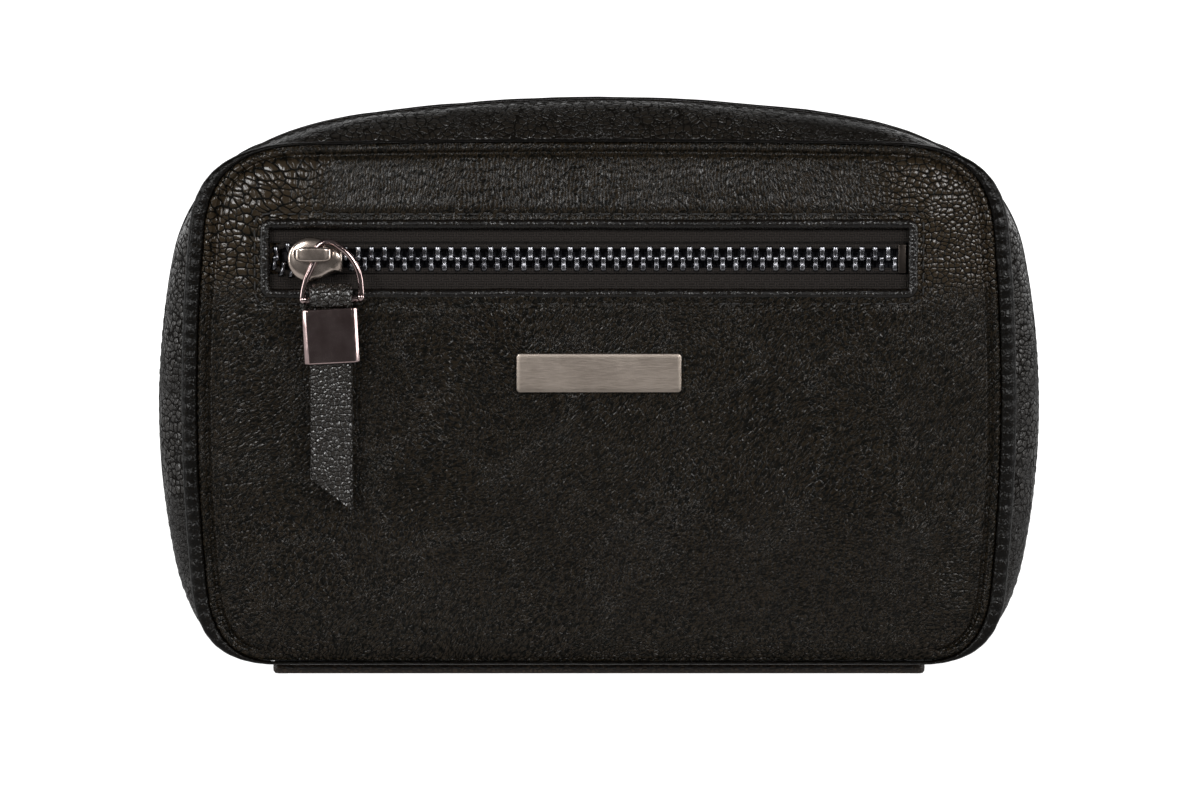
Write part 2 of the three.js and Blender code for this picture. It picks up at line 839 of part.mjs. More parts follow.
// Two edges of one strip, with the flat between them cut into triangles
function slab([near, far]) {
  const flat = near.map((p) => new THREE.Vector2(p.y, p.z));
  const faces = THREE.ShapeUtils.triangulateShape(flat, []);
  const count = near.length;
  const points = [...near, ...far].flatMap((p) => [p.x, p.y, p.z]);
  const index = [];
  for (const [a, b, c] of faces) {
    index.push(a, b, c);
    index.push(count + c, count + b, count + a);
  }
  for (let j = 0; j < count; j += 1) {
    const k = (j + 1) % count;
    index.push(j, count + k, k);
    index.push(j, count + j, count + k);
  }
  if (volumeOf(points, index) < 0) index.reverse();
  const geometry = new THREE.BufferGeometry();
  geometry.setAttribute('position', new THREE.Float32BufferAttribute(points, 3));
  geometry.setIndex(index);
  geometry.computeVertexNormals();
  return geometry;
}

function aslant() {
  const shape = new THREE.Shape();
  shape.moveTo(strapLeft - cutOverrun, strapLow + (strapSlant * (strapWidth + cutOverrun)) / strapWidth);
  shape.lineTo(strapRight + cutOverrun, strapLow - (strapSlant * cutOverrun) / strapWidth);
  shape.lineTo(strapRight + cutOverrun, strapLow - strapSlant - cutOverrun);
  shape.lineTo(strapLeft - cutOverrun, strapLow - strapSlant - cutOverrun);
  shape.closePath();
  const reach = strapHalf + cutOverrun;
  const geometry = new THREE.ExtrudeGeometry(shape, { depth: 2 * reach, bevelEnabled: false });
  geometry.rotateX(Math.PI / 2);
  geometry.translate(0, wirePlane + reach, 0);
  return geometry;
}

piece('pull_strap', cut(slab(strapBody()), aslant()), leatherLook());

// Ferrule: a square sleeve round both layers of the strap
const ferruleHalf = ferruleSide / 2;
const ferruleRoom = strapHalf + layerGap;
const ferruleDepth = ferruleRoom + ferruleWall;
const sleeve = block(-ferruleHalf, ferruleHalf, -ferruleDepth, ferruleDepth, -ferruleHalf, ferruleHalf);
const sleeveRoom = block(
  -ferruleHalf + ferruleWall,
  ferruleHalf - ferruleWall,
  -ferruleRoom,
  ferruleRoom,
  -ferruleHalf - cutOverrun,
  ferruleHalf + cutOverrun,
);
const ferrule = piece('pull_ferrule', cut(sleeve, sleeveRoom), sliderLook());
ferrule.position.set(pinX, wirePlane, pinHeight - ferruleDrop);
ferrule.rotation.y = -THREE.MathUtils.degToRad(ferruleTilt);

// Main zip slider, in a group on the arc that the right side of the waist follows
const sideHalfLength = (waistHigh - waistShoulderDrop - waistLow - waistHeelRise) / 2;
const arcMiddle = waistLow + waistHeelRise + sideHalfLength;
const arcRadius = sideHalfLength ** 2 / (2 * waistSideCrown);
const mainSlider = new THREE.Group();
mainSlider.position.set(waistHalfWidth - arcRadius, 0, arcMiddle);
mainSlider.rotation.y = Math.asin((arcMiddle - mainSliderHeight) / arcRadius);
glucoseCase.add(mainSlider);

const plateOut = arcRadius - mainPlateInset;
const plateIn = plateOut - mainPlateThickness;
const halfPlate = mainPlateLength / 2;
piece(
  'main_slider_body',
  block(plateIn, plateOut, -mainPlateHalfWidth, mainPlateHalfWidth, -halfPlate, halfPlate),
  sliderLook(),
  mainSlider,
);
const mainBarIn = plateOut + mainBridgeGap;
const mainBarOut = mainBarIn + mainBridgeThickness;
const halfBar = mainBridgeLength / 2;
const halfBarWidth = mainBridgeWidth / 2;
const mainPostEnd = halfBar - mainBridgeThickness;
piece(
  'main_slider_bridge',
  joined(
    block(mainBarIn, mainBarOut, -halfBarWidth, halfBarWidth, -halfBar, halfBar),
    block(plateOut + layerGap / 2, mainBarOut, -halfBarWidth, halfBarWidth, mainPostEnd, halfBar),
    block(plateOut + layerGap / 2, mainBarOut, -halfBarWidth, halfBarWidth, -halfBar, -mainPostEnd),
  ),
  sliderLook(),
  mainSlider,
);
const rodMiddle = plateOut + mainBridgeGap / 2;
const tabIn = rodMiddle - mainTabThickness / 2;
const tabOut = rodMiddle + mainTabThickness / 2;
const armNear = halfBarWidth + runGap;
const windowLow = -halfBar - 2 * runGap;
piece(
  'main_pull_tab',
  cut(
    block(tabIn, tabOut, -mainTabWidth / 2, mainTabWidth / 2, -mainTabLength, mainTabRod / 2),
    block(tabIn - cutOverrun, tabOut + cutOverrun, -armNear, armNear, windowLow, -mainTabRod / 2),
  ),
  sliderLook(),
  mainSlider,
);

// Spine: the strip that the case stands on, and its lining
function spineStrip() {
  const shape = new THREE.Shape();
  shape.moveTo(-spineHalfLength, spineThickness);
  shape.lineTo(-spineHalfLength, spineEndRadius);
  shape.quadraticCurveTo(-spineHalfLength, 0, -spineHalfLength + spineEndRadius, 0);
  shape.lineTo(spineHalfLength - spineEndRadius, 0);
  shape.quadraticCurveTo(spineHalfLength, 0, spineHalfLength, spineEndRadius);
  shape.lineTo(spineHalfLength, spineThickness);
  shape.closePath();
  const size = { depth: 2 * spineHalfWidth, bevelEnabled: false, curveSegments: 4 };
  const geometry = new THREE.ExtrudeGeometry(shape, size);
  geometry.rotateX(Math.PI / 2);
  geometry.translate(0, spineHalfWidth, 0);
  return geometry;
}

const spineLiningHalf = spineHalfLength - spineLiningEndRoom;
const spineLiningReach = gussetEnd - layerGap;
const spineLiningLow = spineThickness + layerGap;
const spineLiningHigh = spineLiningLow + spineLiningThickness;
piece('spine_strip', spineStrip(), leatherLook());
piece(
  'spine_lining',
  block(-spineLiningHalf, spineLiningHalf, -spineLiningReach, spineLiningReach, spineLiningLow, spineLiningHigh),
  clothLook(),
);

// Things inside the rear half, on its lining
const insideBack = liningBack - layerGap;
const padLeft = padSideRoom - ridgeHalfWidth;
const padRight = padLeft + padWidth;
const padMiddle = (padLeft + padRight) / 2;
const lancingMiddle = ridgeHalfWidth - lancingSideRoom;
const vialMiddle = ridgeHalfWidth - vialSideRoom;
const padLow = insideMiddle - padHeight / 2;
const padHigh = insideMiddle + padHeight / 2;
piece('meter_pad', block(padLeft, padRight, insideBack - padThickness, insideBack, padLow, padHigh), clothLook());

// A band standing on the lining as an arch, from points of its middle line
function band(line, thickness, middle, low, high) {
  const half = thickness / 2;
  const edge = (offset) =>
    line.map(([x, rise], i) => {
      const [ax, ay] = line[Math.max(i - 1, 0)];
      const [bx, by] = line[Math.min(i + 1, line.length - 1)];
      const length = Math.hypot(bx - ax, by - ay);
      return [x - ((by - ay) / length) * offset, rise + ((bx - ax) / length) * offset];
    });
  const section = [...edge(half), ...edge(-half).reverse()];
  const shape = new THREE.Shape(
    section.map(([x, rise]) => new THREE.Vector2(middle + x, insideBack - half - rise)),
  );
  const geometry = new THREE.ExtrudeGeometry(shape, { depth: high - low, bevelEnabled: false });
  geometry.translate(0, 0, low);
  return geometry;
}

const bandRise = padThickness + layerGap;
const bandHalf = padWidth / 2 + bandEnd;
const bandLine = [
  [-bandHalf, 0],
  [-bandHalf + bandEnd / 2, 0],
  [-padWidth / 2, bandRise],
  [padWidth / 2, bandRise],
  [bandHalf - bandEnd / 2, 0],
  [bandHalf, 0],
];
piece(
  'meter_band',
  band(bandLine, bandThickness, padMiddle, insideMiddle - bandHeight / 2, insideMiddle + bandHeight / 2),
  clothLook(),
);

function loopLine(halfWidth) {
  const arch = [];
  for (let i = 0; i <= arcSteps; i += 1) {
    const turn = Math.PI - (Math.PI * i) / arcSteps;
    arch.push([halfWidth * Math.cos(turn), halfWidth * Math.sin(turn)]);
  }
  return [[-halfWidth - loopFoot, 0], ...arch, [halfWidth + loopFoot, 0]];
}

function loop(halfWidth, height, middle) {
  return band(loopLine(halfWidth), loopBand, middle, insideMiddle - height / 2, insideMiddle + height / 2);
}

piece('lancing_loop', loop(lancingHalfWidth, lancingHeight, lancingMiddle), clothLook());
piece('vial_loop', loop(vialHalfWidth, vialHeight, vialMiddle), clothLook());

// Mesh pocket inside the front half, with a binding along its mouth
const meshLow = ridgeLow + meshMargin;
const meshHalf = ridgeHalfWidth - meshMargin;
piece('mesh_pocket', block(-meshHalf, meshHalf, -insideBack, meshThickness - insideBack, meshLow, meshTop), clothLook());
piece(
  'mesh_pocket_binding',
  block(-meshHalf, meshHalf, -insideBack, meshBindingThickness - insideBack, meshTop + layerGap,
    meshTop + layerGap + meshBinding),
  bindingLook(),
);

export default glucoseCase;
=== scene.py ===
# A zip-around case for a glucose meter in black pebbled leather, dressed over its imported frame.
# Metres, +Z up. The front faces -Y, and the case stands on its spine strip.
import math

import bmesh
import bpy
import numpy as np
from mathutils import Matrix, Vector, noise


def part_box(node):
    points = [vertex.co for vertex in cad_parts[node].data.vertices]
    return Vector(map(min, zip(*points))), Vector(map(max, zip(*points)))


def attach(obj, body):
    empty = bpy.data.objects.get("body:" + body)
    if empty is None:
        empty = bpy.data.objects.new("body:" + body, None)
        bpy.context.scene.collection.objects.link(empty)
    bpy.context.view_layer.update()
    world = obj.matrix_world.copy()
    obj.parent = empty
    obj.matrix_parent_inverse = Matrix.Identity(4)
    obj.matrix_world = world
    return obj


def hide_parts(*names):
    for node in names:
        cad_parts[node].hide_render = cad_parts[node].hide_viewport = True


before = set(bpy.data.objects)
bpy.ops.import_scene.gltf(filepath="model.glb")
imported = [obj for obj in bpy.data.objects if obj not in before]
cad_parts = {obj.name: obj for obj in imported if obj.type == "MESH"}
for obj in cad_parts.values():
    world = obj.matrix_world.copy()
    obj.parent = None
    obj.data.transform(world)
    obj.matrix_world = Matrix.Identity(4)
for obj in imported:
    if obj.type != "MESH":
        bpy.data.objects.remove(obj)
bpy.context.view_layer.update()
MM = 0.001

# The camera, from the photograph
VIEW_DISTANCE = 1.0
VIEW_ELEVATION = math.radians(5)
PHOTO_WIDTH = 0.2304
SENSOR_WIDTH = 36
AIM = Vector((0.0002, -0.023, 0.0541))

camera_data = bpy.data.cameras.new("camera")
camera_data.sensor_width = SENSOR_WIDTH
camera_data.lens = SENSOR_WIDTH * VIEW_DISTANCE / PHOTO_WIDTH
camera = bpy.data.objects.new("camera", camera_data)
bpy.context.scene.collection.objects.link(camera)
away = Vector((0, -math.cos(VIEW_ELEVATION), math.sin(VIEW_ELEVATION)))
camera.location = AIM + away * VIEW_DISTANCE
camera.rotation_euler = away.to_track_quat("Z", "Y").to_euler()
bpy.context.scene.camera = camera


# Shader sums

class Wire:
    """A node's output, which can be used in sums"""

    def __init__(self, nodes, socket):
        self.nodes = nodes
        self.socket = socket

    def sum(self, operation, *values):
        return self.nodes.node("Math", {"operation": operation}, dict(enumerate(values)))

    def __add__(self, other):
        return self.sum("ADD", self, other)

    def __radd__(self, other):
        return self.sum("ADD", other, self)

    def __sub__(self, other):
        return self.sum("SUBTRACT", self, other)

    def __rsub__(self, other):
        return self.sum("SUBTRACT", other, self)

    def __mul__(self, other):
        return self.sum("MULTIPLY", self, other)

    def __rmul__(self, other):
        return self.sum("MULTIPLY", other, self)

    def least(self, other):
        return self.sum("MINIMUM", self, other)

    def most(self, other):
        return self.sum("MAXIMUM", self, other)

    def sine(self):
        return self.sum("SINE", self)

    def size(self):
        return self.sum("ABSOLUTE", self)

    def between(self, low, high):
        """0 below low, 1 above high, and smooth between them"""
        settings = {"interpolation_type": "SMOOTHSTEP"}
        return self.nodes.node("MapRange", settings, {"Value": self, "From Min": low, "From Max": high})


class Nodes:
    """A node tree, which grows as wires are summed"""

    def __init__(self, tree):
        self.tree = tree

    def join(self, socket, value):
        if isinstance(value, Wire):
            self.tree.links.new(value.socket, socket)
        else:
            socket.default_value = value

    def node(self, kind, settings=None, values=None, output=0):
        made = self.tree.nodes.new("ShaderNode" + kind)
        for key, value in (settings or {}).items():
            setattr(made, key, value)
        for key, value in (values or {}).items():
            self.join(made.inputs[key], value)
        return Wire(self, made.outputs[output])

    def split(self, vector):
        """The three parts of a vector"""
        outputs = self.node("SeparateXYZ", None, {0: vector}).socket.node.outputs
        return [Wire(self, outputs[i]) for i in range(3)]

    def vector(self, x, y, z):
        return self.node("CombineXYZ", None, {0: x, 1: y, 2: z})


class Finish(Nodes):
    """A material made of nodes"""

    def __init__(self, name, roughness, metallic=0.0, specular=0.5):
        self.material = bpy.data.materials.new(name)
        self.material.use_nodes = True
        super().__init__(self.material.node_tree)
        self.shader = self.tree.nodes["Principled BSDF"]
        self.shader.inputs["Roughness"].default_value = roughness
        self.shader.inputs["Metallic"].default_value = metallic
        self.shader.inputs["Specular IOR Level"].default_value = specular

    def places(self):
        return self.node("TexCoord", output="Object")

    def moved(self, vector, offset):
        return self.node("VectorMath", {"operation": "ADD"}, {0: vector, 1: offset})

    def scaled(self, vector, factors):
        return self.node("VectorMath", {"operation": "MULTIPLY"}, {0: vector, 1: factors})

    def along(self, vector, direction):
        return self.node("VectorMath", {"operation": "DOT_PRODUCT"}, {0: vector, 1: direction}, "Value")

    def noise(self, vector, cell, detail=3.0, roughness=0.5, output=0):
        """Noise whose patches are about one cell wide"""
        values = {"Vector": vector, "Scale": 1 / cell, "Detail": detail, "Roughness": roughness}
        return self.node("TexNoise", None, values, output)

    def cells(self, vector, cell, feature="DISTANCE_TO_EDGE", spread=1.0, planar=False):
        values = {"Vector": vector, "Scale": 1 / cell, "Randomness": spread}
        settings = {"feature": feature, "voronoi_dimensions": "2D" if planar else "3D"}
        return self.node("TexVoronoi", settings, values)

    def domes(self, vector, cell, planar, dome, crease):
        """Pebbles, 0 in the creases between them and 1 on their tops. They are round where dome is 1 and flat
        where it is 0."""
        top = self.cells(vector, cell, "F1", 0.9, planar)
        edge = self.cells(vector, cell, "DISTANCE_TO_EDGE", 0.9, planar)
        return (1 - top * top * 1.5).most(0.0) * dome + edge.between(0.0, crease) * (1 - dome)

    def crests(self, vector, cell):
        """Thin raised lines that wander and meet"""
        return (1 - (self.noise(vector, cell, 2.0, 0.6) - 0.5).size() * 12).most(0.0)

    def mixed(self, factor, a, b):
        return self.node("Mix", {"data_type": "RGBA"}, {0: factor, 6: a, 7: b}, 2)

    def colour(self, value):
        self.join(self.shader.inputs["Base Color"], value)

    def tint(self, share, dark, light):
        """From dark, where share is 0, to light, where it is 1"""
        self.colour(self.mixed(share, paint(dark), paint(light)))

    def roughness(self, value):
        self.join(self.shader.inputs["Roughness"], value)

    def bump(self, height, depth):
        """height is from 0 to 1, and depth is the real size of that rise"""
        values = {"Height": height, "Distance": depth, "Strength": 1.0}
        self.join(self.shader.inputs["Normal"], self.node("Bump", None, values))

    def shaded_pores(self, share, colour):
        """Lets a dull, dark surface through where share is 1: a matt finish, and painted shade in the hollows
        """
        values = {"Base Color": paint(colour), "Roughness": 0.9, "Specular IOR Level": 0.05}
        dull = self.node("BsdfPrincipled", None, values)
        both = self.node("MixShader", None, {0: share, 1: Wire(self, self.shader.outputs[0]), 2: dull})
        self.join(self.tree.nodes["Material Output"].inputs["Surface"], both)


def paint(colour):
    """A colour picked on screen from 0 to 255, as light"""
    parts = [c / 255 for c in colour]
    return (*[p / 12.92 if p <= 0.04045 else ((p + 0.055) / 1.055) ** 2.4 for p in parts], 1)


# Finishes

# Over these heights and distances from the middle, in metres, the panel's leather changes to a glossy, full
# grain at its upper corners and to upright creases above the pocket.
CORNER_SIDE = (0.046, 0.062)
CORNER_FOOT = (0.070, 0.080)
CORNER_TOP = (0.098, 0.104)
BAND_FOOT = (0.085, 0.091)


def leather_finish(name, dark, light, pebble, relief, roughness=0.36, streaks=0.0, bold=0.5, specular=0.3,
                   planar=True):
    """Pebbled leather. Its pebbles are drawn out along creases whose direction wanders, and are fullest at
    the case's upper corners. bold is how much of the rest is pebbled in full, and planar leather faces the
    front."""
    f = Finish(name, roughness, specular=specular)
    p = f.places()
    x, _, z = f.split(p)
    bent = p
    drifts = ((0.045, 0.018, 1.0), (6 * pebble, 1.8 * pebble, 2.0), (pebble, 0.3 * pebble, 1.0))
    for cell, reach, detail in drifts:
        bent = f.moved(bent, f.scaled(f.noise(p, cell, detail, output="Color"), (reach,) * 3))
    bx, by, bz = f.split(bent)
    corner = x.size().between(*CORNER_SIDE) * z.between(*CORNER_FOOT) * (1 - z.between(*CORNER_TOP))
    band = z.between(*BAND_FOOT) * streaks
    patch = f.noise(p, 0.020, 3.0, 0.55)
    fine = f.noise(p, 0.22 * pebble, 2.0, 0.55)
    broad = f.noise(p, 2.2 * pebble, 3.0, 0.55)

    def creased(across, up, cell):
        return f.domes(f.vector(across, up, by), cell * pebble, planar, 0.5, 0.17)

    pebbles = f.domes(f.vector(bx * 0.95, bz * 1.15, by), pebble, planar, 0.45, 0.15)
    upright = creased(bx * 0.95, bz * 1.1, 0.66)
    drawn = creased((bx + bz) * 0.44, (bz - bx) * 0.95, 0.66)
    streak = creased(bx * 1.5, bz * 0.45, 0.7)
    lean = f.noise(p, 0.028, 1.0, 0.5).between(0.44, 0.56)
    grain = drawn + (upright - drawn) * lean
    grain = grain + (streak - grain) * band
    flat = 0.45 * grain + 0.55 * f.crests(f.vector((bx + bz) * 0.5, bz - bx, by), 0.8 * pebble)
    full = (corner + bold * patch.between(0.42, 0.62) + max(0.0, bold - 1)).least(1.0)
    sparse = 1 - full
    rise = pebbles * (0.03 + 0.47 * full) + grain * (0.03 + 0.23 * sparse)
    f.bump(rise + 0.01 * fine + broad * (0.08 + 0.30 * full), relief)
    top = pebbles * full + flat * sparse
    # Colour: painted shade in the creases between pebbles and painted light on their tops, with tone that
    # differs at random, so the full-grained upper corners also come out lighter.
    shade = top * 1.1 - 0.15 + 0.4 * (fine - 0.5) + 0.4 * (broad - 0.5)
    f.tint(shade.between(0.0, 1.0), dark, light)
    f.roughness(roughness + 0.06 * (1 - top) + 0.07 * (patch - 0.5) + 0.10 * (fine - 0.5) - 0.05 * corner)
    # Painted shade: a dull, dark surface in the creases of the grain, which is also matt there.
    deep = 0.85 * (1 - pebbles.between(0.25, 0.75))
    shallow = (0.36 + 0.5 * (1 - flat.between(0.15, 0.6))) * (1 - 0.35 * band)
    f.shaded_pores((deep * full + shallow * sparse) * (0.6 + 0.8 * broad), dark)
    return f.material


def smooth_leather_finish(name, dark, light, roughness=0.38, specular=0.32):
    """Leather turned over an edge, with its grain pulled flat"""
    f = Finish(name, roughness, specular=specular)
    p = f.places()
    bent = f.moved(p, f.scaled(f.noise(p, 0.004, 2.0, output="Color"), (0.001,) * 3))
    dome = f.cells(bent, 0.0009).between(0.0, 0.3)
    fine = f.noise(p, 0.0004, 3.0)
    broad = f.noise(p, 0.005, 3.0)
    f.bump(0.5 * dome * broad + 0.08 * fine + 0.4 * broad, 0.00018)
    # Colour: painted shade at the edges of the flattened grain cells, with tone that differs at random.
    f.tint((dome * broad).between(0.1, 0.8), dark, light)
    f.roughness(roughness + 0.12 * (broad - 0.5) + 0.08 * (1 - dome))
    return f.material


def woven_finish(name, dark, light, pitch, across=(1, 0, 0), up=(0, 0, 1), relief=0.00012, roughness=0.85):
    """Cloth whose threads run over and under along two directions"""
    f = Finish(name, roughness, specular=0.3)
    p = f.places()
    x, z = f.along(p, across), f.along(p, up)
    turn = math.pi / pitch
    warp = (x * turn).sine().size()
    weft = (z * turn).sine().size()
    over = ((x * turn * 0.5).sine() * (z * turn * 0.5).sine()).between(-0.2, 0.2)
    rise = warp * over + weft * (1 - over)
    fuzz = f.noise(p, 0.3 * pitch, 3.0)
    f.bump(rise * 0.8 + fuzz * 0.3, relief)
    # Colour: painted shade where the threads dip under, following the bump's rise.
    f.tint((rise * 0.8 + fuzz * 0.3).between(0.2, 1.0), dark, light)
    f.roughness(roughness + 0.1 * (fuzz - 0.5))
    return f.material


def ribbed_finish(name, dark, light, pitch, along, relief=0.00025):
    """Elastic webbing, with ribs across its length"""
    f = Finish(name, 0.8, specular=0.3)
    p = f.places()
    rib = (f.along(p, along) * (math.pi / pitch)).sine().size()
    fuzz = f.noise(p, 0.4 * pitch, 3.0)
    f.bump(rib * 0.8 + fuzz * 0.3, relief)
    # Colour: painted shade between the ribs, following the bump.
    f.tint((rib * 0.8 + fuzz * 0.3).between(0.2, 1.0), dark, light)
    f.roughness(0.75 + 0.1 * fuzz)
    return f.material


def metal_finish(name, dark, light, roughness, scratch=0.00003):
    """Polished or satin metal, with faint handling marks"""
    f = Finish(name, roughness, metallic=1.0)
    p = f.places()
    cloud = f.noise(p, 0.004, 3.0)
    rub = f.noise(p, 0.0009, 3.0)
    f.tint(cloud.between(0.3, 0.7), dark, light)
    f.roughness(roughness + 0.10 * (cloud - 0.5) + 0.08 * (rub - 0.5))
    f.bump(rub * 0.6 + cloud * 0.4, scratch)
    return f.material


def brushed_finish(name, dark, light, roughness):
    """Satin plate, brushed along its length"""
    f = Finish(name, roughness, metallic=1.0)
    p = f.places()
    line = f.noise(f.scaled(p, (0.06, 1, 1)), 0.00012, 3.0)
    cloud = f.noise(p, 0.006, 2.0)
    f.tint((line * 0.6 + cloud * 0.4).between(0.3, 0.7), dark, light)
    f.roughness(roughness + 0.12 * (line - 0.5) + 0.06 * (cloud - 0.5))
    f.bump(line, 0.00002)
    return f.material


def thread_finish(name, dark, light):
    """Twisted sewing thread"""
    f = Finish(name, 0.55, specular=0.45)
    p = f.places()
    x, y, z = f.split(p)
    twist = ((x + y * 0.7 + z) * (math.pi / 0.00028)).sine().size()
    fuzz = f.noise(p, 0.0002, 2.0)
    f.bump(twist, 0.00006)
    # Colour: painted light on the twist's ridges and painted shade in its grooves, with random fuzz.
    f.tint((twist * 0.7 + fuzz * 0.3).between(0.2, 0.9), dark, light)
    f.roughness(0.5 + 0.15 * fuzz)
    return f.material


def mesh_finish(name, dark, light):
    """Knitted net: round holes in rows"""
    f = Finish(name, 0.8, specular=0.3)
    p = f.places()
    x, _, z = f.split(p)
    turn = math.pi / 0.0018
    hole = ((x * turn).sine() * (z * turn).sine()).size()
    fuzz = f.noise(p, 0.0003, 2.0)
    f.bump(1 - hole, 0.0002)
    # Colour: painted shade toward the holes, following the bump.
    f.tint((1 - hole).between(0.2, 0.8), dark, light)
    f.roughness(0.75 + 0.1 * fuzz)
    f.join(f.shader.inputs["Alpha"], (0.78 - hole).between(-0.04, 0.04))
    return f.material


def foam_finish(name, dark, light):
    f = Finish(name, 0.95, specular=0.2)
    p = f.places()
    pore = f.cells(p, 0.0008, "F1")
    f.bump(pore, 0.0003)
    # Colour: painted shade in the pits of the pores, following the bump.
    f.tint(pore.between(0.1, 0.7), dark, light)
    f.roughness(0.9 + 0.08 * pore)
    return f.material


LEATHER = leather_finish("pebbled_leather", (2, 2, 1), (36, 29, 20), 0.0013, 0.00062, 0.21, 1.0, 0.08, 0.23)
GUSSET_LEATHER = leather_finish("gusset_leather", (5, 3, 1), (20, 16, 11), 0.0013, 0.0009, 0.23,
                                bold=1.4, specular=0.38, planar=False)
STRAP_LEATHER = leather_finish("strap_leather", (8, 6, 4), (25, 21, 17), 0.0010, 0.0006, 0.25,
                               bold=2, specular=0.60)
TURNED_LEATHER = smooth_leather_finish("turned_leather", (5, 3, 2), (19, 15, 10), 0.25)
# The welt's leather is a darker copy of the turned leather: painted shade for the welt, which lies in the
# seam.
WELT_LEATHER = smooth_leather_finish("welt_leather", (4, 3, 2), (12, 9, 6), 0.28, 0.12)
# The spine's leather is painted lighter than the other smooth leathers: painted light, for a strip that sits
# in shade under the case.
SPINE_LEATHER = smooth_leather_finish("spine_leather", (28, 20, 13), (62, 50, 38), 0.36, 0.30)
THREAD = thread_finish("sewing_thread", (5, 4, 4), (22, 20, 18))
TAPE = woven_finish("zip_tape", (6, 4, 3), (24, 17, 12), 0.00048, relief=0.0002)
SIDE_TAPE = woven_finish("side_zip_tape", (12, 10, 9), (44, 38, 33), 0.0006, (0, 1, 0), (1, 0, 1), 0.0002)
TEETH = metal_finish("zip_teeth", (88, 88, 92), (130, 130, 134), 0.24)
BLACKENED = metal_finish("blackened_metal", (40, 36, 34), (66, 60, 56), 0.3)
GUNMETAL = metal_finish("polished_gunmetal", (158, 136, 134), (176, 156, 154), 0.13, 0.000008)
SLIDER_METAL = metal_finish("satin_gunmetal", (172, 158, 148), (198, 184, 174), 0.24, 0.000006)
PLATE = brushed_finish("satin_nickel", (148, 137, 127), (162, 151, 141), 0.38)
LINING = woven_finish("lining_cloth", (12, 12, 14), (44, 44, 50), 0.0005)
ELASTIC = ribbed_finish("elastic_webbing", (10, 10, 11), (42, 42, 45), 0.0009, (0, 0, 1))
LOOP_ELASTIC = ribbed_finish("loop_elastic", (10, 10, 11), (46, 46, 49), 0.0009, (0, 0, 1))
HOOKS = foam_finish("hook_and_loop", (8, 8, 8), (34, 34, 35))
NET = mesh_finish("knitted_net", (10, 10, 11), (40, 40, 43))
FOAM = foam_finish("foam", (60, 60, 60), (100, 100, 100))
BOARD = foam_finish("stiffener_board", (92, 78, 60), (130, 112, 90))


# Meshes

def to_object(name, vertices, faces, material, smooth=True):
    mesh = bpy.data.meshes.new(name)
    mesh.from_pydata([tuple(map(float, v)) for v in vertices], [], [tuple(map(int, q)) for q in faces])
    mesh.validate()
    made = bpy.data.objects.new(name, mesh)
    bpy.context.scene.collection.objects.link(made)
    mesh.materials.append(material)
    mesh.polygons.foreach_set("use_smooth", [smooth] * len(mesh.polygons))
    return made


def turned_out(made):
    """Faces that point out"""
    work = bmesh.new()
    work.from_mesh(made.data)
    bmesh.ops.recalc_face_normals(work, faces=work.faces)
    work.to_mesh(made.data)
    work.free()
    return made


def settle(made, body, slot, *nodes):
    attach(made, body)
    if nodes:
        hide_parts(*nodes)
    return made


def grid_faces(rows, columns, close_rows, close_columns):
    faces = []
    for i in range(rows if close_rows else rows - 1):
        for j in range(columns if close_columns else columns - 1):
            k = (i + 1) % rows
            m = (j + 1) % columns
            faces.append((i * columns + j, i * columns + m, k * columns + m, k * columns + j))
    return faces


def lofted(name, loops, material, close_loops=False, capped=True, closed=True):
    """Loops of points joined in order: a ring if the loops close, otherwise capped"""
    loops = np.asarray(loops, float)
    rows, columns = loops.shape[:2]
    faces = grid_faces(rows, columns, close_loops, closed)
    if capped and not close_loops:
        faces.append(tuple(range(columns - 1, -1, -1)))
        faces.append(tuple(range((rows - 1) * columns, rows * columns)))
    return turned_out(to_object(name, loops.reshape(-1, 3), faces, material))


def round_tube(name, path, radius, material, sides=12, closed=False):
    """A tube along points, with round ends where it is open"""
    path = np.asarray(path, float)
    count = len(path)
    loops = []
    normal = np.array([0.0, 1.0, 0.0])
    for i in range(count):
        before = path[i - 1] if closed or i else path[i]
        after = path[(i + 1) % count] if closed or i < count - 1 else path[i]
        along = after - before
        along /= np.linalg.norm(along)
        across = np.cross(normal, along)
        across /= np.linalg.norm(across)
        other = np.cross(along, across)
        turns = np.linspace(0, 2 * math.pi, sides, endpoint=False)
        loops.append([path[i] + radius * (math.cos(t) * across + math.sin(t) * other) for t in turns])
    if not closed:
        def end(loop, middle, push, direction):
            shrink = math.sqrt(max(0.0, 1 - push**2))
            return [middle + (p - middle) * shrink + direction * radius * push for p in loop]
        first = (path[0] - path[1]) / np.linalg.norm(path[0] - path[1])
        last = (path[-1] - path[-2]) / np.linalg.norm(path[-1] - path[-2])
        head = [end(loops[0], path[0], s, first) for s in (0.97, 0.75, 0.4)]
        tail = [end(loops[-1], path[-1], s, last) for s in (0.4, 0.75, 0.97)]
        loops = head + loops + tail
    return lofted(name, loops, material, close_loops=closed)


def headed(path):
    """Each point of an open flat path, with the direction square to the path there"""
    path = np.asarray(path, float)
    for k, point in enumerate(path):
        along = path[min(k + 1, len(path) - 1)] - path[max(k - 1, 0)]
        along /= np.linalg.norm(along)
        yield point, np.array([along[1], -along[0]])


def rounded_rectangle(half_width, half_height, radius, steps=4):
    """Corners of a rounded rectangle about the origin, anticlockwise"""
    points = []
    for sx, sz, start in ((1, -1, -90), (1, 1, 0), (-1, 1, 90), (-1, -1, 180)):
        for i in range(steps + 1):
            turn = math.radians(start + 90 * i / steps)
            x = sx * (half_width - radius) + radius * math.cos(turn)
            z = sz * (half_height - radius) + radius * math.sin(turn)
            points.append((x, z))
    return np.array(points)


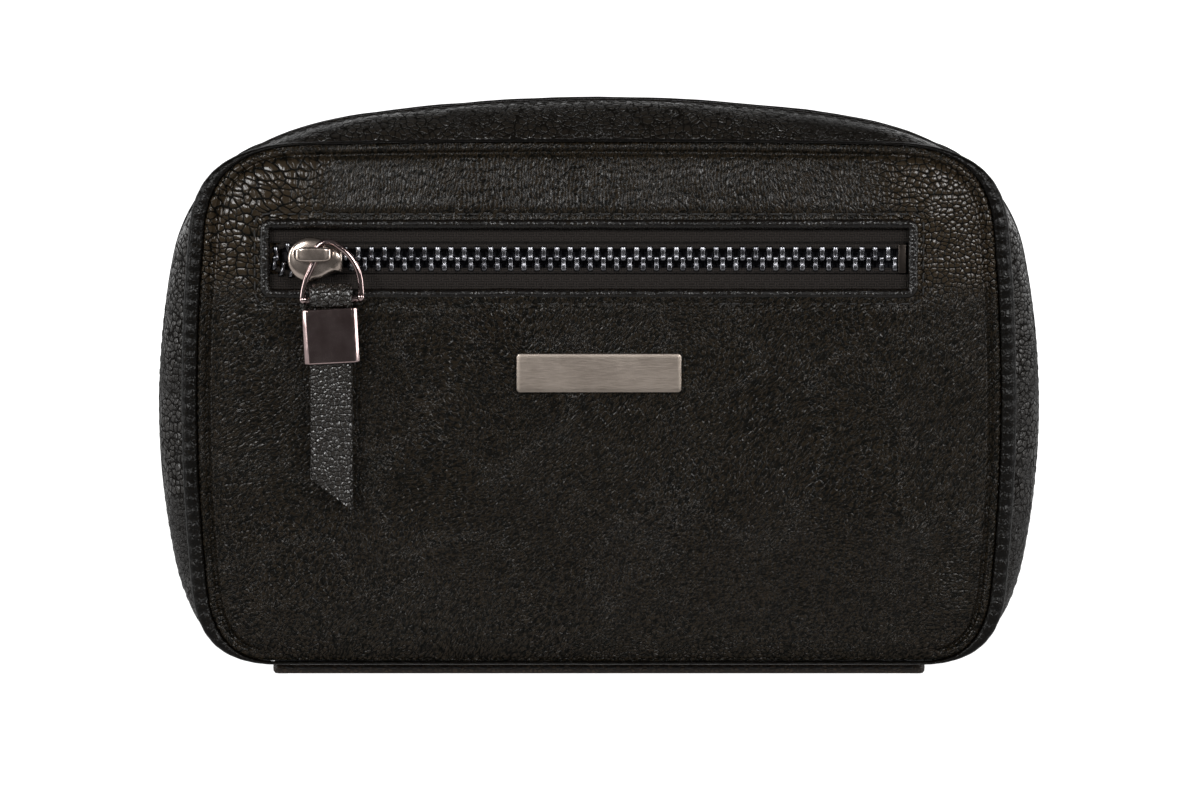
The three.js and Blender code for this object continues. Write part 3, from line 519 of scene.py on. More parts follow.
def stitch_rows(name, rows, length, radius, body):
    """Short stitches: each row lists (middle, along, out)"""
    vertices, faces = [], []
    sides = 6
    # Each ring's place along the stitch, its share of the radius, and how far it lifts off the leather
    shape = ((-0.5, 0.15, -0.5), (-0.42, 0.75, 0.1), (-0.2, 1.0, 0.5), (0.2, 1.0, 0.5), (0.42, 0.75, 0.1),
             (0.5, 0.15, -0.5))
    for middle, along, out in rows:
        middle, along, out = (np.asarray(v, float) for v in (middle, along, out))
        along /= np.linalg.norm(along)
        across = np.cross(along, out)
        across /= np.linalg.norm(across)
        up = np.cross(across, along)
        start = len(vertices)
        for place, swell, lift in shape:
            centre = middle + along * place * length + up * lift * radius
            for k in range(sides):
                turn = 2 * math.pi * k / sides
                spoke = math.cos(turn) * across + 0.8 * math.sin(turn) * up
                vertices.append(centre + radius * swell * spoke)
        for i in range(len(shape) - 1):
            for k in range(sides):
                a = start + i * sides + k
                b = start + i * sides + (k + 1) % sides
                faces.append((a, b, b + sides, a + sides))
        faces.append(tuple(start + k for k in range(sides - 1, -1, -1)))
        faces.append(tuple(start + (len(shape) - 1) * sides + k for k in range(sides)))
    return settle(turned_out(to_object(name, vertices, faces, THREAD)), body, "welt")


def waves(points, size, seed, octaves=3):
    """Smooth noise at each point, about -1 to 1"""
    shift = Vector((seed * 3.7, seed * 1.3, seed * 7.1))
    return np.array([noise.fractal(Vector(p) / size + shift, 0.6, 2.0, octaves) for p in points])


# Outlines: the same curves as the solids, in metres

low_ridge, high_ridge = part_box("front_panel")
low_waist, high_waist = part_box("front_gusset")
RIDGE = {
    "half_width": high_ridge[0],
    "low": low_ridge[2],
    "high": high_ridge[2],
    "side_crown": 1.7 * MM,
    "top_crown": 0.6 * MM,
    "shoulder_drop": 16 * MM,
    "shoulder_run": 19 * MM,
    "heel_rise": 14 * MM,
    "heel_run": 13 * MM,
}
WAIST = {
    "half_width": high_waist[0],
    "low": low_waist[2],
    "high": high_waist[2],
    "side_crown": 3 * MM,
    "top_crown": 3.3 * MM,
    "shoulder_drop": 30 * MM,
    "shoulder_run": 36 * MM,
    "heel_rise": 19 * MM,
    "heel_run": 18.4 * MM,
}


def crossing(p, q, r, s):
    u, v = q - p, s - r
    t = ((r - p)[0] * v[1] - (r - p)[1] * v[0]) / (u[0] * v[1] - u[1] * v[0])
    return p + u * t


def outline(half_width, low, high, side_crown, top_crown, shoulder_drop, shoulder_run, heel_rise, heel_run,
            dense=1):
    """A closed line from the left end of the foot round the right side, the top and the left side"""
    side = half_width - side_crown
    heel_side = np.array([side, low + heel_rise])
    heel_foot = np.array([side - heel_run, low])
    shoulder_side = np.array([side, high - shoulder_drop])
    shoulder_top = np.array([side - shoulder_run, high - top_crown])
    side_control = np.array([half_width + side_crown, (heel_side[1] + shoulder_side[1]) / 2])
    top_control = np.array([0.0, high + top_crown])
    flat = np.array([0.0, low])
    heel_control = crossing(heel_side, side_control, heel_foot, flat)
    shoulder_control = crossing(shoulder_side, side_control, shoulder_top, top_control)
    mirror = np.array([-1.0, 1.0])

    def curve(a, b, c, steps):
        t = (np.arange(steps * dense) / (steps * dense))[:, None]
        return (1 - t) ** 2 * a + 2 * t * (1 - t) * b + t**2 * c

    return np.vstack([
        curve(heel_foot * mirror, flat, heel_foot, 60),
        curve(heel_foot, heel_control, heel_side, 20),
        curve(heel_side, side_control, shoulder_side, 36),
        curve(shoulder_side, shoulder_control, shoulder_top, 24),
        curve(shoulder_top, top_control, shoulder_top * mirror, 60),
        curve(shoulder_top * mirror, shoulder_control * mirror, shoulder_side * mirror, 24),
        curve(shoulder_side * mirror, side_control * mirror, heel_side * mirror, 36),
        curve(heel_side * mirror, heel_control * mirror, heel_foot * mirror, 20),
    ])


def pushed(points, distance):
    """Each point moved square to the outline, inward for a positive distance"""
    along = np.roll(points, -1, 0) - np.roll(points, 1, 0)
    along /= np.linalg.norm(along, axis=1)[:, None]
    inward = np.stack([-along[:, 1], along[:, 0]], 1)
    if np.ndim(distance):
        distance = np.asarray(distance)[:, None]
    return points + inward * distance


def at(points, depth, side):
    """Points of an outline at a depth out from the middle of the case"""
    depth = np.broadcast_to(depth, len(points))
    return np.stack([points[:, 0], side * depth, points[:, 1]], 1)


def even_stations(points, pitch, first=0.0, last=1.0):
    """Places along a closed outline one pitch apart, as (index, share past it)"""
    chain = np.vstack([points, points[:1]])
    steps = np.linalg.norm(np.diff(chain, axis=0), axis=1)
    run = np.concatenate([[0], np.cumsum(steps)])
    begin, end = first * run[-1], last * run[-1]
    count = int(round((end - begin) / pitch))
    marks = begin + (np.arange(count) + 0.5) * (end - begin) / count
    index = np.clip(np.searchsorted(run, marks, "right") - 1, 0, len(steps) - 1)
    return index, (marks - run[index]) / steps[index]


def paced(line, pitch, first=0.0, last=1.0, ahead=0.0):
    """Places one pitch apart round a closed outline, as (index, spot, direction)"""
    for i, share in zip(*even_stations(line, pitch, first, last)):
        step = line[(i + 1) % len(line)] - line[i]
        length = np.linalg.norm(step)
        yield i, line[i] + step * (share + ahead / length), step / length


def dense_ring(ring, spacing):
    """The same ring with a point at least every spacing"""
    closed = np.vstack([ring, ring[:1]])
    steps = np.linalg.norm(np.diff(closed, axis=0), axis=1)
    run = np.concatenate([[0], np.cumsum(steps)])
    marks = np.linspace(0, run[-1], int(run[-1] / spacing), endpoint=False)
    return np.stack([np.interp(marks, run, closed[:, k]) for k in (0, 1)], 1)


STITCH_PITCH = 2.5 * MM
STITCH_LENGTH = 1.75 * MM


def stitches_along(name, ring, depth, out, body, inset=0.0, radius=0.17 * MM):
    """A row of stitches round a flat outline at one depth"""
    line = dense_ring(pushed(ring, inset) if inset else ring, 0.5 * MM)
    rows = [((spot[0], depth, spot[1]), (along[0], 0, along[1]), (0, out, 0))
            for _, spot, along in paced(line, STITCH_PITCH)]
    return stitch_rows(name, rows, STITCH_LENGTH, radius, body)


def spaced(low, high, count):
    """Middles of equal steps from low to high"""
    return [low + (k + 0.5) * (high - low) / count for k in range(count)]


RIDGE_LINE = outline(**RIDGE)
WAIST_LINE = outline(**WAIST)
PANEL_RIM = 21.6 * MM
PANEL_TOP = 25 * MM
BACK = 20.4 * MM
CROWN_REACH = 36 * MM
ROLL_RISE = 0.95 * MM
ROLL_HALF = 0.85 * MM

# The outside pocket's slot, from its lips
slot_low = np.array([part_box("pocket_lip_left")[1][0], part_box("pocket_lip_lower")[1][2]])
slot_high = np.array([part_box("pocket_lip_right")[0][0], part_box("pocket_lip_upper")[0][2]])
SLOT_MIDDLE = (slot_low + slot_high) / 2
SLOT_HALF = (slot_high - slot_low) / 2
LIP = 1.9 * MM


def from_slot(x, z, grow=0.0, radius=0.001):
    """Distance outside a rounded rectangle round the slot"""
    across = np.abs(x - SLOT_MIDDLE[0]) - SLOT_HALF[0] - grow + radius
    up = np.abs(z - SLOT_MIDDLE[1]) - SLOT_HALF[1] - grow + radius
    outside = np.hypot(np.maximum(across, 0), np.maximum(up, 0))
    return outside + np.minimum(np.maximum(across, up), 0) - radius


def hump(value, middle, width):
    return np.exp(-(((value - middle) / width) ** 2))


def smooth_step(value, low, high):
    t = np.clip((value - low) / (high - low), 0, 1)
    return t * t * (3 - 2 * t)


def panel_skin(name, side, slot, seed):
    """The padded leather of one face: a roll along its edge, a crease inside that, and a crowned middle"""
    columns, rows = 340, 230
    right = RIDGE_LINE[RIDGE_LINE[:, 0] >= 0]
    order = np.argsort(right[:, 1])
    shoulder = RIDGE["high"] - RIDGE["top_crown"]
    share = np.linspace(0, 1, rows)
    eased = share - 0.096 * np.sin(2 * math.pi * share) / (2 * math.pi)
    z_rows = RIDGE["low"] + eased * (shoulder - RIDGE["low"])
    half = np.interp(z_rows, right[order, 1], right[order, 0])
    s = np.linspace(-1, 1, columns)
    s = s + 0.10 * np.sin(math.pi * s) / math.pi
    x = s[None, :] * half[:, None]
    top = RIDGE["high"] - RIDGE["top_crown"] * (x / (RIDGE["half_width"] - RIDGE["shoulder_run"])) ** 2
    z = z_rows[:, None] + (np.maximum(top, shoulder) - shoulder) * share[:, None] ** 6
    flat = np.stack([x.ravel(), z.ravel()], 1)
    dense = outline(**RIDGE, dense=3)
    batch = 4000
    edge = np.empty(len(flat))
    for first in range(0, len(flat), batch):
        part = flat[first:first + batch]
        edge[first:first + batch] = np.sqrt(((part[:, None, :] - dense[None]) ** 2).sum(2).min(1))
    x, z = flat[:, 0], flat[:, 1]
    crown = 1 - np.exp(-np.minimum(edge / CROWN_REACH, 1) * 7)
    crown = crown * (0.93 + 0.07 * smooth_step(edge, 10 * MM, CROWN_REACH))
    # The roll and the crease fade out along the foot
    sides = 1 - smooth_step(z, 14 * MM, 7 * MM) * smooth_step(np.abs(x), 70 * MM, 62 * MM)
    roll = ROLL_RISE * np.sqrt(np.clip(1 - (edge / ROLL_HALF - 1) ** 2, 0, 1)) * sides
    crease = -0.55 * MM * hump(edge, 1.95 * MM, 0.42 * MM) * sides
    start = smooth_step(edge, 0.9 * MM, 2.8 * MM) * sides + (1 - sides)
    depth = PANEL_RIM - 0.2 * MM + crown * (PANEL_TOP - PANEL_RIM) * start + roll + crease
    places = np.stack([x, np.zeros_like(x), z], 1)
    inner = smooth_step(edge, 2.5 * MM, 9 * MM)
    pucker = 0.3 + smooth_step(edge, 14 * MM, 3 * MM)
    depth += inner * 0.16 * MM * waves(places, 11 * MM, seed)
    depth += inner * 0.10 * MM * waves(places * np.array([1, 1, 2.2]), 5 * MM, seed + 2, 2) * pucker
    if slot:
        out = from_slot(x, z, LIP)
        near = smooth_step(out, 9 * MM, 0)
        depth += 0.16 * MM * hump(out, 2.6 * MM, 1.1 * MM) - 0.30 * MM * hump(out, 0.95 * MM, 0.42 * MM)
        drawn = near * smooth_step(out, 0.9 * MM, 2 * MM)
        depth += 0.12 * MM * drawn * waves(places * np.array([2.4, 1, 0.7]), 4 * MM, seed + 5, 2)
        depth -= 0.1 * MM * near
    vertices = np.stack([x, side * depth, z], 1)
    faces = np.array(grid_faces(rows, columns, False, False))
    if slot:
        middle = vertices[faces].mean(1)
        faces = faces[from_slot(middle[:, 0], middle[:, 2], 0.9 * MM) > 0]
    rim = (
        list(range(columns))
        + [i * columns + columns - 1 for i in range(1, rows)]
        + [(rows - 1) * columns + j for j in range(columns - 2, -1, -1)]
        + [i * columns for i in range(rows - 2, 0, -1)]
    )
    skirt = vertices[rim]
    skirt[:, 1] = side * BACK
    first, count = len(vertices), len(rim)
    turned = [(rim[i], rim[(i + 1) % count], first + (i + 1) % count, first + i) for i in range(count)]
    return turned_out(to_object(name, np.vstack([vertices, skirt]), [*faces.tolist(), *turned], LEATHER))


front_skin = panel_skin("front_panel_leather", -1, True, 3)
settle(front_skin, "front_half", "leather", "front_panel")
rear_skin = panel_skin("rear_panel_leather", 1, False, 8)
settle(rear_skin, "rear_half", "leather", "rear_panel")


# Welts, gussets and bindings

WELT_WIDTH = 3.1 * MM
WELT_NARROW = 0.2


def puckers(points, pitch):
    """0 at each stitch and 1 between two, along a closed outline"""
    steps = np.linalg.norm(np.roll(points, -1, 0) - points, axis=1)
    run = np.concatenate([[0], np.cumsum(steps)])[:-1]
    total = steps.sum()
    count = round(total / pitch)
    return np.abs(np.sin(math.pi * run / total * count))


def welt_ring(side, name, body, node, seed):
    line = outline(**RIDGE, dense=4)
    swell = puckers(line, STITCH_PITCH)
    wander = waves(at(line, 0, side), 7 * MM, seed, 2)
    # Shares of the welt's width, depths, and how far each row takes part in the puckers
    section = [
        (0.0, 20.5, 0.0), (0.0, 21.5, 0.0), (0.07, 22.2, 0.5), (0.25, 22.42, 1.0), (0.5, 22.4, 1.0),
        (0.73, 22.2, 1.0), (0.92, 21.7, 0.8), (1.0, 21.0, 0.4), (0.97, 20.55, 0.1), (0.5, 20.45, 0.0),
    ]
    along = np.roll(line, -1, 0) - np.roll(line, 1, 0)
    upright = np.abs(along[:, 1]) / np.linalg.norm(along, axis=1)
    width = WELT_WIDTH * (WELT_NARROW + (1 - WELT_NARROW) * upright**2)
    loops = []
    for out, depth, share in section:
        deep = share * width / WELT_WIDTH
        sink = (1 - swell) * deep * 0.18 * MM
        spread = -0.05 * MM - out * width + deep * (0.16 * (1 - swell) - 0.12 * wander) * MM
        loops.append(at(pushed(line, spread), depth * MM - sink + deep * 0.08 * MM * wander, side))
    made = lofted(name, loops, WELT_LEATHER, close_loops=True)
    return settle(made, body, "welt", node)


GUSSET_START = 20.1 * MM
GUSSET_END = 6.9 * MM


def gusset_rows(steps, side, first=0.0):
    """Rows of the gusset's slope from the ridge to the waist, as (share, outline, depth, places)"""
    for i in range(steps + 1):
        v = first + (1 - first) * i / steps
        depth = GUSSET_START + v * (GUSSET_END - GUSSET_START)
        base = RIDGE_LINE + (WAIST_LINE - RIDGE_LINE) * (0.1 + 0.9 * (1 - (1 - v) ** 2.6))
        yield v, base, depth, at(base, depth, side)


def gusset_ring(side, name, body, node, seed):
    outer, inner = [], []
    for v, base, depth, places in gusset_rows(26, side):
        fold = math.sin(math.pi * v) ** 0.5 if 0 < v < 1 else 0.0
        wave = waves(places * np.array([1, 0.55, 1]), 13 * MM, seed) * 0.32 * MM
        pinch = waves(places * np.array([1, 0.2, 1]), 3.2 * MM, seed + 1, 2) * 0.18 * MM
        pinch *= max(0.0, 1 - 1.6 * v)
        outer.append(at(pushed(base, fold * (wave + 0.1 * MM) + pinch), depth, side))
        inner.append(at(pushed(base, 1.4 * MM), depth, side))
    made = lofted(name, outer + inner[::-1], GUSSET_LEATHER, close_loops=True)
    return settle(made, body, "leather", node)


def lining_ring(side, name, body, node, seed):
    outer, inner = [], []
    first = 0.16
    for v, base, depth, places in gusset_rows(14, side, first):
        swell = math.sin(math.pi * (v - first) / (1 - first)) * 0.5 * MM
        wave = waves(places, 12 * MM, seed) * 0.2 * MM
        outer.append(at(pushed(base, 2.2 * MM), depth, side))
        inner.append(at(pushed(base, 3.1 * MM + swell + wave), depth, side))
    made = lofted(name, outer + inner[::-1], LINING, close_loops=True)
    return settle(made, body, "lining", node)


# The zip runs round the waist, from just past one end of the foot to just before the other
zip_first = 60 + 4
zip_last = len(WAIST_LINE) - 4


def strip_along(name, section, material, side, ripple, seed):
    """A rippled strip along the zip's path, of a section given as (inset, depth)"""
    inset, depth = section[0]
    wave = waves(at(pushed(WAIST_LINE, inset), depth, side), 8 * MM, seed, 2) * ripple
    rails = [at(pushed(WAIST_LINE, inset + wave), depth + 0.5 * wave, side) for inset, depth in section]
    loops = np.array(rails)[:, zip_first:zip_last + 1].transpose(1, 0, 2)
    return lofted(name, loops, material)


def rounded_section(inset_low, inset_high, depth_low, depth_high, radius):
    ring = rounded_rectangle((inset_high - inset_low) / 2, (depth_high - depth_low) / 2, radius, 3)
    return ring + np.array([(inset_low + inset_high) / 2, (depth_low + depth_high) / 2])


for half, side, seed in (("front", -1, 11), ("rear", 1, 23)):
    body = half + "_half"
    welt_ring(side, half + "_welt_leather", body, half + "_welt", seed)
    gusset_ring(side, half + "_gusset_leather", body, half + "_gusset", seed + 1)
    lining_ring(side, half + "_gusset_cloth", body, half + "_gusset_lining", seed + 2)
    section = rounded_section(-0.3 * MM, 3.6 * MM, 4.9 * MM, 6.7 * MM, 0.7 * MM)
    binding = strip_along(half + "_binding_leather", section, TURNED_LEATHER, side, 0.10 * MM, seed)
    settle(binding, body, "welt", half + "_edge_binding")
    rows = []
    for i, flat, along in paced(WAIST_LINE, STITCH_PITCH, 0.2, 0.995):
        if zip_first <= i < zip_last - 1:
            out = np.array([along[1], -along[0]])
            spot = flat - out * 0.12 * MM
            rows.append(((spot[0], side * 8.4 * MM, spot[1]), (along[0], 0, along[1]), (out[0], 0, out[1])))
    stitch_rows(half + "_edge_stitches", rows, 1.9 * MM, 0.2 * MM, body)


# Zip teeth

def tooth(width, length, thick):
    """One metal tooth: a rounded bar with a neck behind its head. It points along +Z from its root at 0."""
    work = bmesh.new()
    levels = [
        (0.0, 1.0, 0.82), (0.12, 1.0, 0.94), (0.3, 0.97, 1.0), (0.46, 0.86, 0.97), (0.58, 0.80, 0.90),
        (0.70, 0.92, 0.96), (0.84, 1.0, 1.0), (0.95, 0.92, 0.9), (1.0, 0.7, 0.72),
    ]
    rings = []
    for place, wide, deep in levels:
        ring = rounded_rectangle(width / 2 * wide, thick / 2 * deep, 0.46 * width * min(wide, deep), 3)
        rings.append([work.verts.new((x, y, place * length)) for x, y in ring])
    count = len(rings[0])
    for a, b in zip(rings, rings[1:]):
        for k in range(count):
            work.faces.new((a[k], a[(k + 1) % count], b[(k + 1) % count], b[k]))
    work.faces.new(rings[0][::-1])
    work.faces.new(rings[-1])
    mesh = bpy.data.meshes.new("tooth_shape")
    work.to_mesh(mesh)
    work.free()
    return mesh


def teeth_row(name, shape, placements):
    """Copies of one tooth, each placed by a matrix"""
    base = np.array([v.co for v in shape.vertices])
    quads = [list(p.vertices) for p in shape.polygons]
    vertices, faces = [], []
    for place in placements:
        start = len(vertices)
        vertices.extend(base @ np.array(place.to_3x3()).T + np.array(place.translation))
        faces.extend([[start + i for i in q] for q in quads])
    return turned_out(to_object(name, vertices, faces, TEETH))


def placed(origin, right, deep, up):
    """The matrix whose columns are a tooth's width, thickness and length"""
    turn = Matrix([right, deep, up]).transposed().to_4x4()
    turn.translation = Vector(origin)
    return turn


TOOTH_PITCH = 2.54 * MM
TOOTH_WIDTH = 1.15 * MM
low_teeth, high_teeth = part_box("pocket_teeth_upper")
CHAIN_DEPTH = (low_teeth[1] + high_teeth[1]) / 2
CHAIN_HEIGHT = SLOT_MIDDLE[1]
slider_low, slider_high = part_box("pocket_slider_body")
chain_shape = tooth(TOOTH_WIDTH, 2.85 * MM, 1.9 * MM)
right_x, deep_y = Vector((1, 0, 0)), Vector((0, 1, 0))
first_shut = slider_high[0] - 3.5 * MM
last_tooth = 58.0 * MM
# At the slider's open side the rows part. Each tooth there has a place and a rise in millimetres, and a lean
# in degrees.
OPEN_TEETH = {
    1: ((-62.0, 2.35, 8), (-59.8, 3.05, 16)),
    -1: ((-62.3, 2.2, -6), (-60.9, 3.3, -14), (-59.0, 3.6, -10)),
}
for up, label, shift in ((1, "upper", 0.0), (-1, "lower", 0.5)):
    places = []
    x = last_tooth - shift * TOOTH_PITCH
    while x > first_shut:
        root = (x, CHAIN_DEPTH, CHAIN_HEIGHT + up * 2.4 * MM)
        places.append(placed(root, right_x * up, deep_y, Vector((0, 0, -up))))
        x -= TOOTH_PITCH
    for place, rise, lean in OPEN_TEETH[up]:
        tilt = math.radians(lean)
        direction = Vector((math.sin(tilt) * up, 0, -up * math.cos(tilt)))
        across = Vector((math.cos(tilt) * up, 0, math.sin(tilt)))
        root = (place * MM, CHAIN_DEPTH, CHAIN_HEIGHT + up * rise * MM)
        places.append(placed(root, across, deep_y, direction))
    node = "pocket_teeth_" + label
    settle(teeth_row(node + "_metal", chain_shape, places), "front_half", "zip_metal", node)

# The woven cord that each row of teeth clamps, as places and rises in millimetres
CORD_PLACES = (-63.0, -61.5, -59.5, -57.0, -54.0, 58.6)
CORD_RISES = (1.5, 2.1, 2.9, 2.7, 2.35, 2.35)
for up, label in ((1, "upper"), (-1, "lower")):
    xs = np.linspace(CORD_PLACES[0], CORD_PLACES[-1], 160)
    rises = np.interp(xs, CORD_PLACES, CORD_RISES)
    path = [(x * MM, CHAIN_DEPTH, CHAIN_HEIGHT + up * r * MM) for x, r in zip(xs, rises)]
    settle(round_tube("pocket_zip_cord_" + label, path, 0.55 * MM, TAPE, 10), "front_half", "zip_tape")

# Main zip teeth, on the path round the waist
side_shape = tooth(TOOTH_WIDTH, 2.5 * MM, 1.9 * MM)
for half, side, ahead in (("front", -1, TOOTH_PITCH / 2), ("rear", 1, 0.0)):
    places = []
    for i, flat, along in paced(pushed(WAIST_LINE, 4.15 * MM), TOOTH_PITCH, ahead=ahead):
        if zip_first < i < zip_last - 1:
            out = Vector((along[1], 0, -along[0]))
            places.append(placed((flat[0], side * 2.75 * MM, flat[1]), Vector((along[0], 0, along[1])), out,
                                 Vector((0, -side, 0))))
    row = teeth_row("main_zip_teeth_" + half, side_shape, places)
    settle(row, half + "_half", "zip_metal", "main_zip_chain_" + half)


# Lips round the pocket's slot: one rolled edge of leather, with small rounded corners

def slot_ring(grow, radius=0.5 * MM, steps=6):
    ring = rounded_rectangle(SLOT_HALF[0] + grow, SLOT_HALF[1] + grow, radius + 0.6 * max(grow, 0), steps)
    return ring + SLOT_MIDDLE


lip_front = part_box("pocket_lip_upper")[0][1]
LIP_SPACING = 0.6 * MM
middle_ring = dense_ring(slot_ring(LIP / 2), LIP_SPACING)
lip_wave = waves(at(middle_ring, 0, 1), 6 * MM, 31, 2)
lip_loops = []
for turn in np.radians([-35, 0, 30, 60, 90, 120, 150, 180, 215]):
    across = math.cos(turn) * (LIP / 2 + 0.05 * MM)
    rise = math.sin(turn) * 1.0 * MM
    base = pushed(middle_ring, -across + 0.10 * MM * lip_wave)
    depth = lip_front + 1.0 * MM - rise - 0.06 * MM * lip_wave * max(0.0, math.sin(turn))
    lip_loops.append(np.stack([base[:, 0], depth, base[:, 1]], 1))
lips = lofted("pocket_lips", lip_loops, TURNED_LEATHER, close_loops=True)
settle(lips, "front_half", "leather", "pocket_lip_upper", "pocket_lip_lower", "pocket_lip_left",
       "pocket_lip_right")

stitches_along("pocket_stitches", slot_ring(LIP + 0.95 * MM), lip_front + 0.62 * MM, -1, "front_half",
               radius=0.19 * MM)


# Pocket slider

def domed(name, outline_points, levels, centre, material):
    """A solid over a flat outline: levels are (share of the outline's size, depth)"""
    flat = np.asarray(outline_points)
    loops = [at(centre + (flat - centre) * share, depth, 1) for share, depth in levels]
    return lofted(name, loops, material)


def shield_outline():
    """A round head, drawn in to a narrow tail where the teeth leave meshed"""
    head, tail = slider_low[0], slider_high[0]
    half_head = (slider_high[2] - slider_low[2]) / 2
    half_tail = 2.35 * MM
    middle = head + half_head
    bend = (tail - middle) / 2
    turns = np.linspace(math.pi / 2, math.pi, 15)
    ends = [(tail, half_tail), (tail - bend, half_tail), (middle + bend, half_head), (middle, half_head)]
    upper = []
    for t in np.linspace(0, 1, 16, endpoint=False):
        weights = [(1 - t) ** 3, 3 * t * (1 - t) ** 2, 3 * t * t * (1 - t), t**3]
        upper.append(tuple(sum(w * e[k] for w, e in zip(weights, ends)) for k in (0, 1)))
    upper += [(middle + half_head * math.cos(t), half_head * math.sin(t)) for t in turns]
    lower = [(x, -z) for x, z in upper[::-1][1:]]
    return np.array(upper + lower) + np.array([0, CHAIN_HEIGHT])


plate_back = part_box("pocket_zip_stop")[0][1] - 0.3 * MM
bridge_low, bridge_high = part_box("pocket_slider_bridge")
plate_front = bridge_high[1] - 0.15 * MM
thick = plate_back - plate_front
centre = np.array([(slider_low[0] + slider_high[0]) / 2, CHAIN_HEIGHT])
levels = [(0.94, plate_back), (0.99, plate_back - 0.05 * thick), (1.0, plate_back - 0.2 * thick)]
for share, rise in ((1.0, 0.62), (0.985, 0.74), (0.955, 0.82), (0.90, 0.88), (0.82, 0.93), (0.7, 0.965),
                    (0.5, 0.99), (0.3, 1.0), (0.12, 1.0)):
    levels.append((share, plate_back - rise * thick))
slider = domed("pocket_slider_shield", shield_outline(), levels, centre, SLIDER_METAL)
settle(slider, "pocket_slider", "slider_metal", "pocket_slider_body")

# The bridge: a rounded bar that comes down at both ends
bar_middle = (bridge_low[2] + bridge_high[2]) / 2
bar_top = bridge_low[1] + 0.5 * MM
profile = [
    (0.35, plate_front + 0.1 * MM, 0.9), (0.45, plate_front - 0.9 * MM, 0.95),
    (0.75, bar_top + 0.35 * MM, 1.15), (1.3, bar_top, 1.35), (2.4, bar_top - 0.02 * MM, 1.42),
]
stations = [(bridge_low[0] + run * MM, depth, half) for run, depth, half in profile]
stations += [(bridge_high[0] - run * MM, depth, half) for run, depth, half in profile[::-1]]
bar_loops = []
for ((x, depth), out), (*_, half) in zip(headed([station[:2] for station in stations]), stations):
    ring = rounded_rectangle(0.5 * MM, half * MM, 0.47 * MM, 4)
    bar_loops.append([(x + out[0] * a, depth + out[1] * a, bar_middle + b) for a, b in ring])
bridge = lofted("pocket_slider_arch", bar_loops, SLIDER_METAL)
bevel = bridge.modifiers.new("round", "SUBSURF")
bevel.levels = bevel.render_levels = 2
settle(bridge, "pocket_slider", "slider_metal", "pocket_slider_bridge")

# Pull ring: a D of wire, with a ball at each end of its pin
ring_low, ring_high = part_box("pull_ring")
WIRE_PLANE = (ring_low[1] + ring_high[1]) / 2
RING_LENGTH = 8.9 * MM
ring_origin = np.array([(bridge_low[0] + bridge_high[0]) / 2, bar_middle])
RING_SHARES = [
    (-0.22, -1), (-0.17, -0.58), (-0.1, -0.41), (0, -0.18), (0.1, 0.16), (0.25, 0.25), (0.39, 0.25),
    (0.54, 0.16), (0.72, 0.02), (0.87, -0.18), (0.97, -0.41), (1.01, -0.65), (1, -0.93),
    (0.88, -0.96), (-0.06, -1),
]


def through(points, steps):
    """A smooth closed curve through points, with even speed through each"""
    points = np.array(points, float)
    count = len(points)
    out = []
    for i in range(count):
        p = [points[(i + k) % count] for k in (-1, 0, 1, 2)]
        t = [0.0]
        for a, b in zip(p, p[1:]):
            t.append(t[-1] + math.sqrt(np.linalg.norm(b - a)))
        for s in np.linspace(t[1], t[2], steps, endpoint=False):
            a1 = (t[1] - s) / (t[1] - t[0]) * p[0] + (s - t[0]) / (t[1] - t[0]) * p[1]
            a2 = (t[2] - s) / (t[2] - t[1]) * p[1] + (s - t[1]) / (t[2] - t[1]) * p[2]
            a3 = (t[3] - s) / (t[3] - t[2]) * p[2] + (s - t[2]) / (t[3] - t[2]) * p[3]
            b1 = (t[2] - s) / (t[2] - t[0]) * a1 + (s - t[0]) / (t[2] - t[0]) * a2
            b2 = (t[3] - s) / (t[3] - t[1]) * a2 + (s - t[1]) / (t[3] - t[1]) * a3
            out.append((t[2] - s) / (t[2] - t[1]) * b1 + (s - t[1]) / (t[2] - t[1]) * b2)
    return np.array(out)


ring_path = through([ring_origin + np.array(p) * RING_LENGTH for p in RING_SHARES], 8)
wire = round_tube("pull_ring_wire", at(ring_path, WIRE_PLANE, 1), 0.6 * MM, GUNMETAL, 16, closed=True)
settle(wire, "pull_ring", "slider_metal", "pull_ring")
BALL_RADIUS = 0.88 * MM
BALL_SHARES = {"left": (-0.215, -0.985), "right": (1.0, -0.925)}
for label, share in BALL_SHARES.items():
    place = ring_origin + np.array(share) * RING_LENGTH
    loops = []
    for t in np.linspace(-math.pi / 2, math.pi / 2, 11)[1:-1]:
        radius = BALL_RADIUS * math.cos(t)
        x = place[0] + BALL_RADIUS * math.sin(t)
        turns = np.linspace(0, 2 * math.pi, 20, endpoint=False)
        loops.append([(x, WIRE_PLANE + radius * math.cos(a), place[1] + radius * math.sin(a)) for a in turns])
    settle(lofted("pull_pin_ball_" + label, loops, GUNMETAL), "pull_ring", "slider_metal")


# Pull strap: one strip of leather folded over the pin, with rounded edges and a slanted end
strap_low, strap_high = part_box("pull_strap")
PIN = np.array([(strap_low[0] + strap_high[0]) / 2, ring_origin[1] - 0.97 * RING_LENGTH])
STRAP_HALF = (strap_high[0] - strap_low[0]) / 2
LAYER = 1.1 * MM
LAYER_GAP = 0.3 * MM
STRAP_SLANT = 6.2 * MM
LOOP_RISE = 1.0 * MM


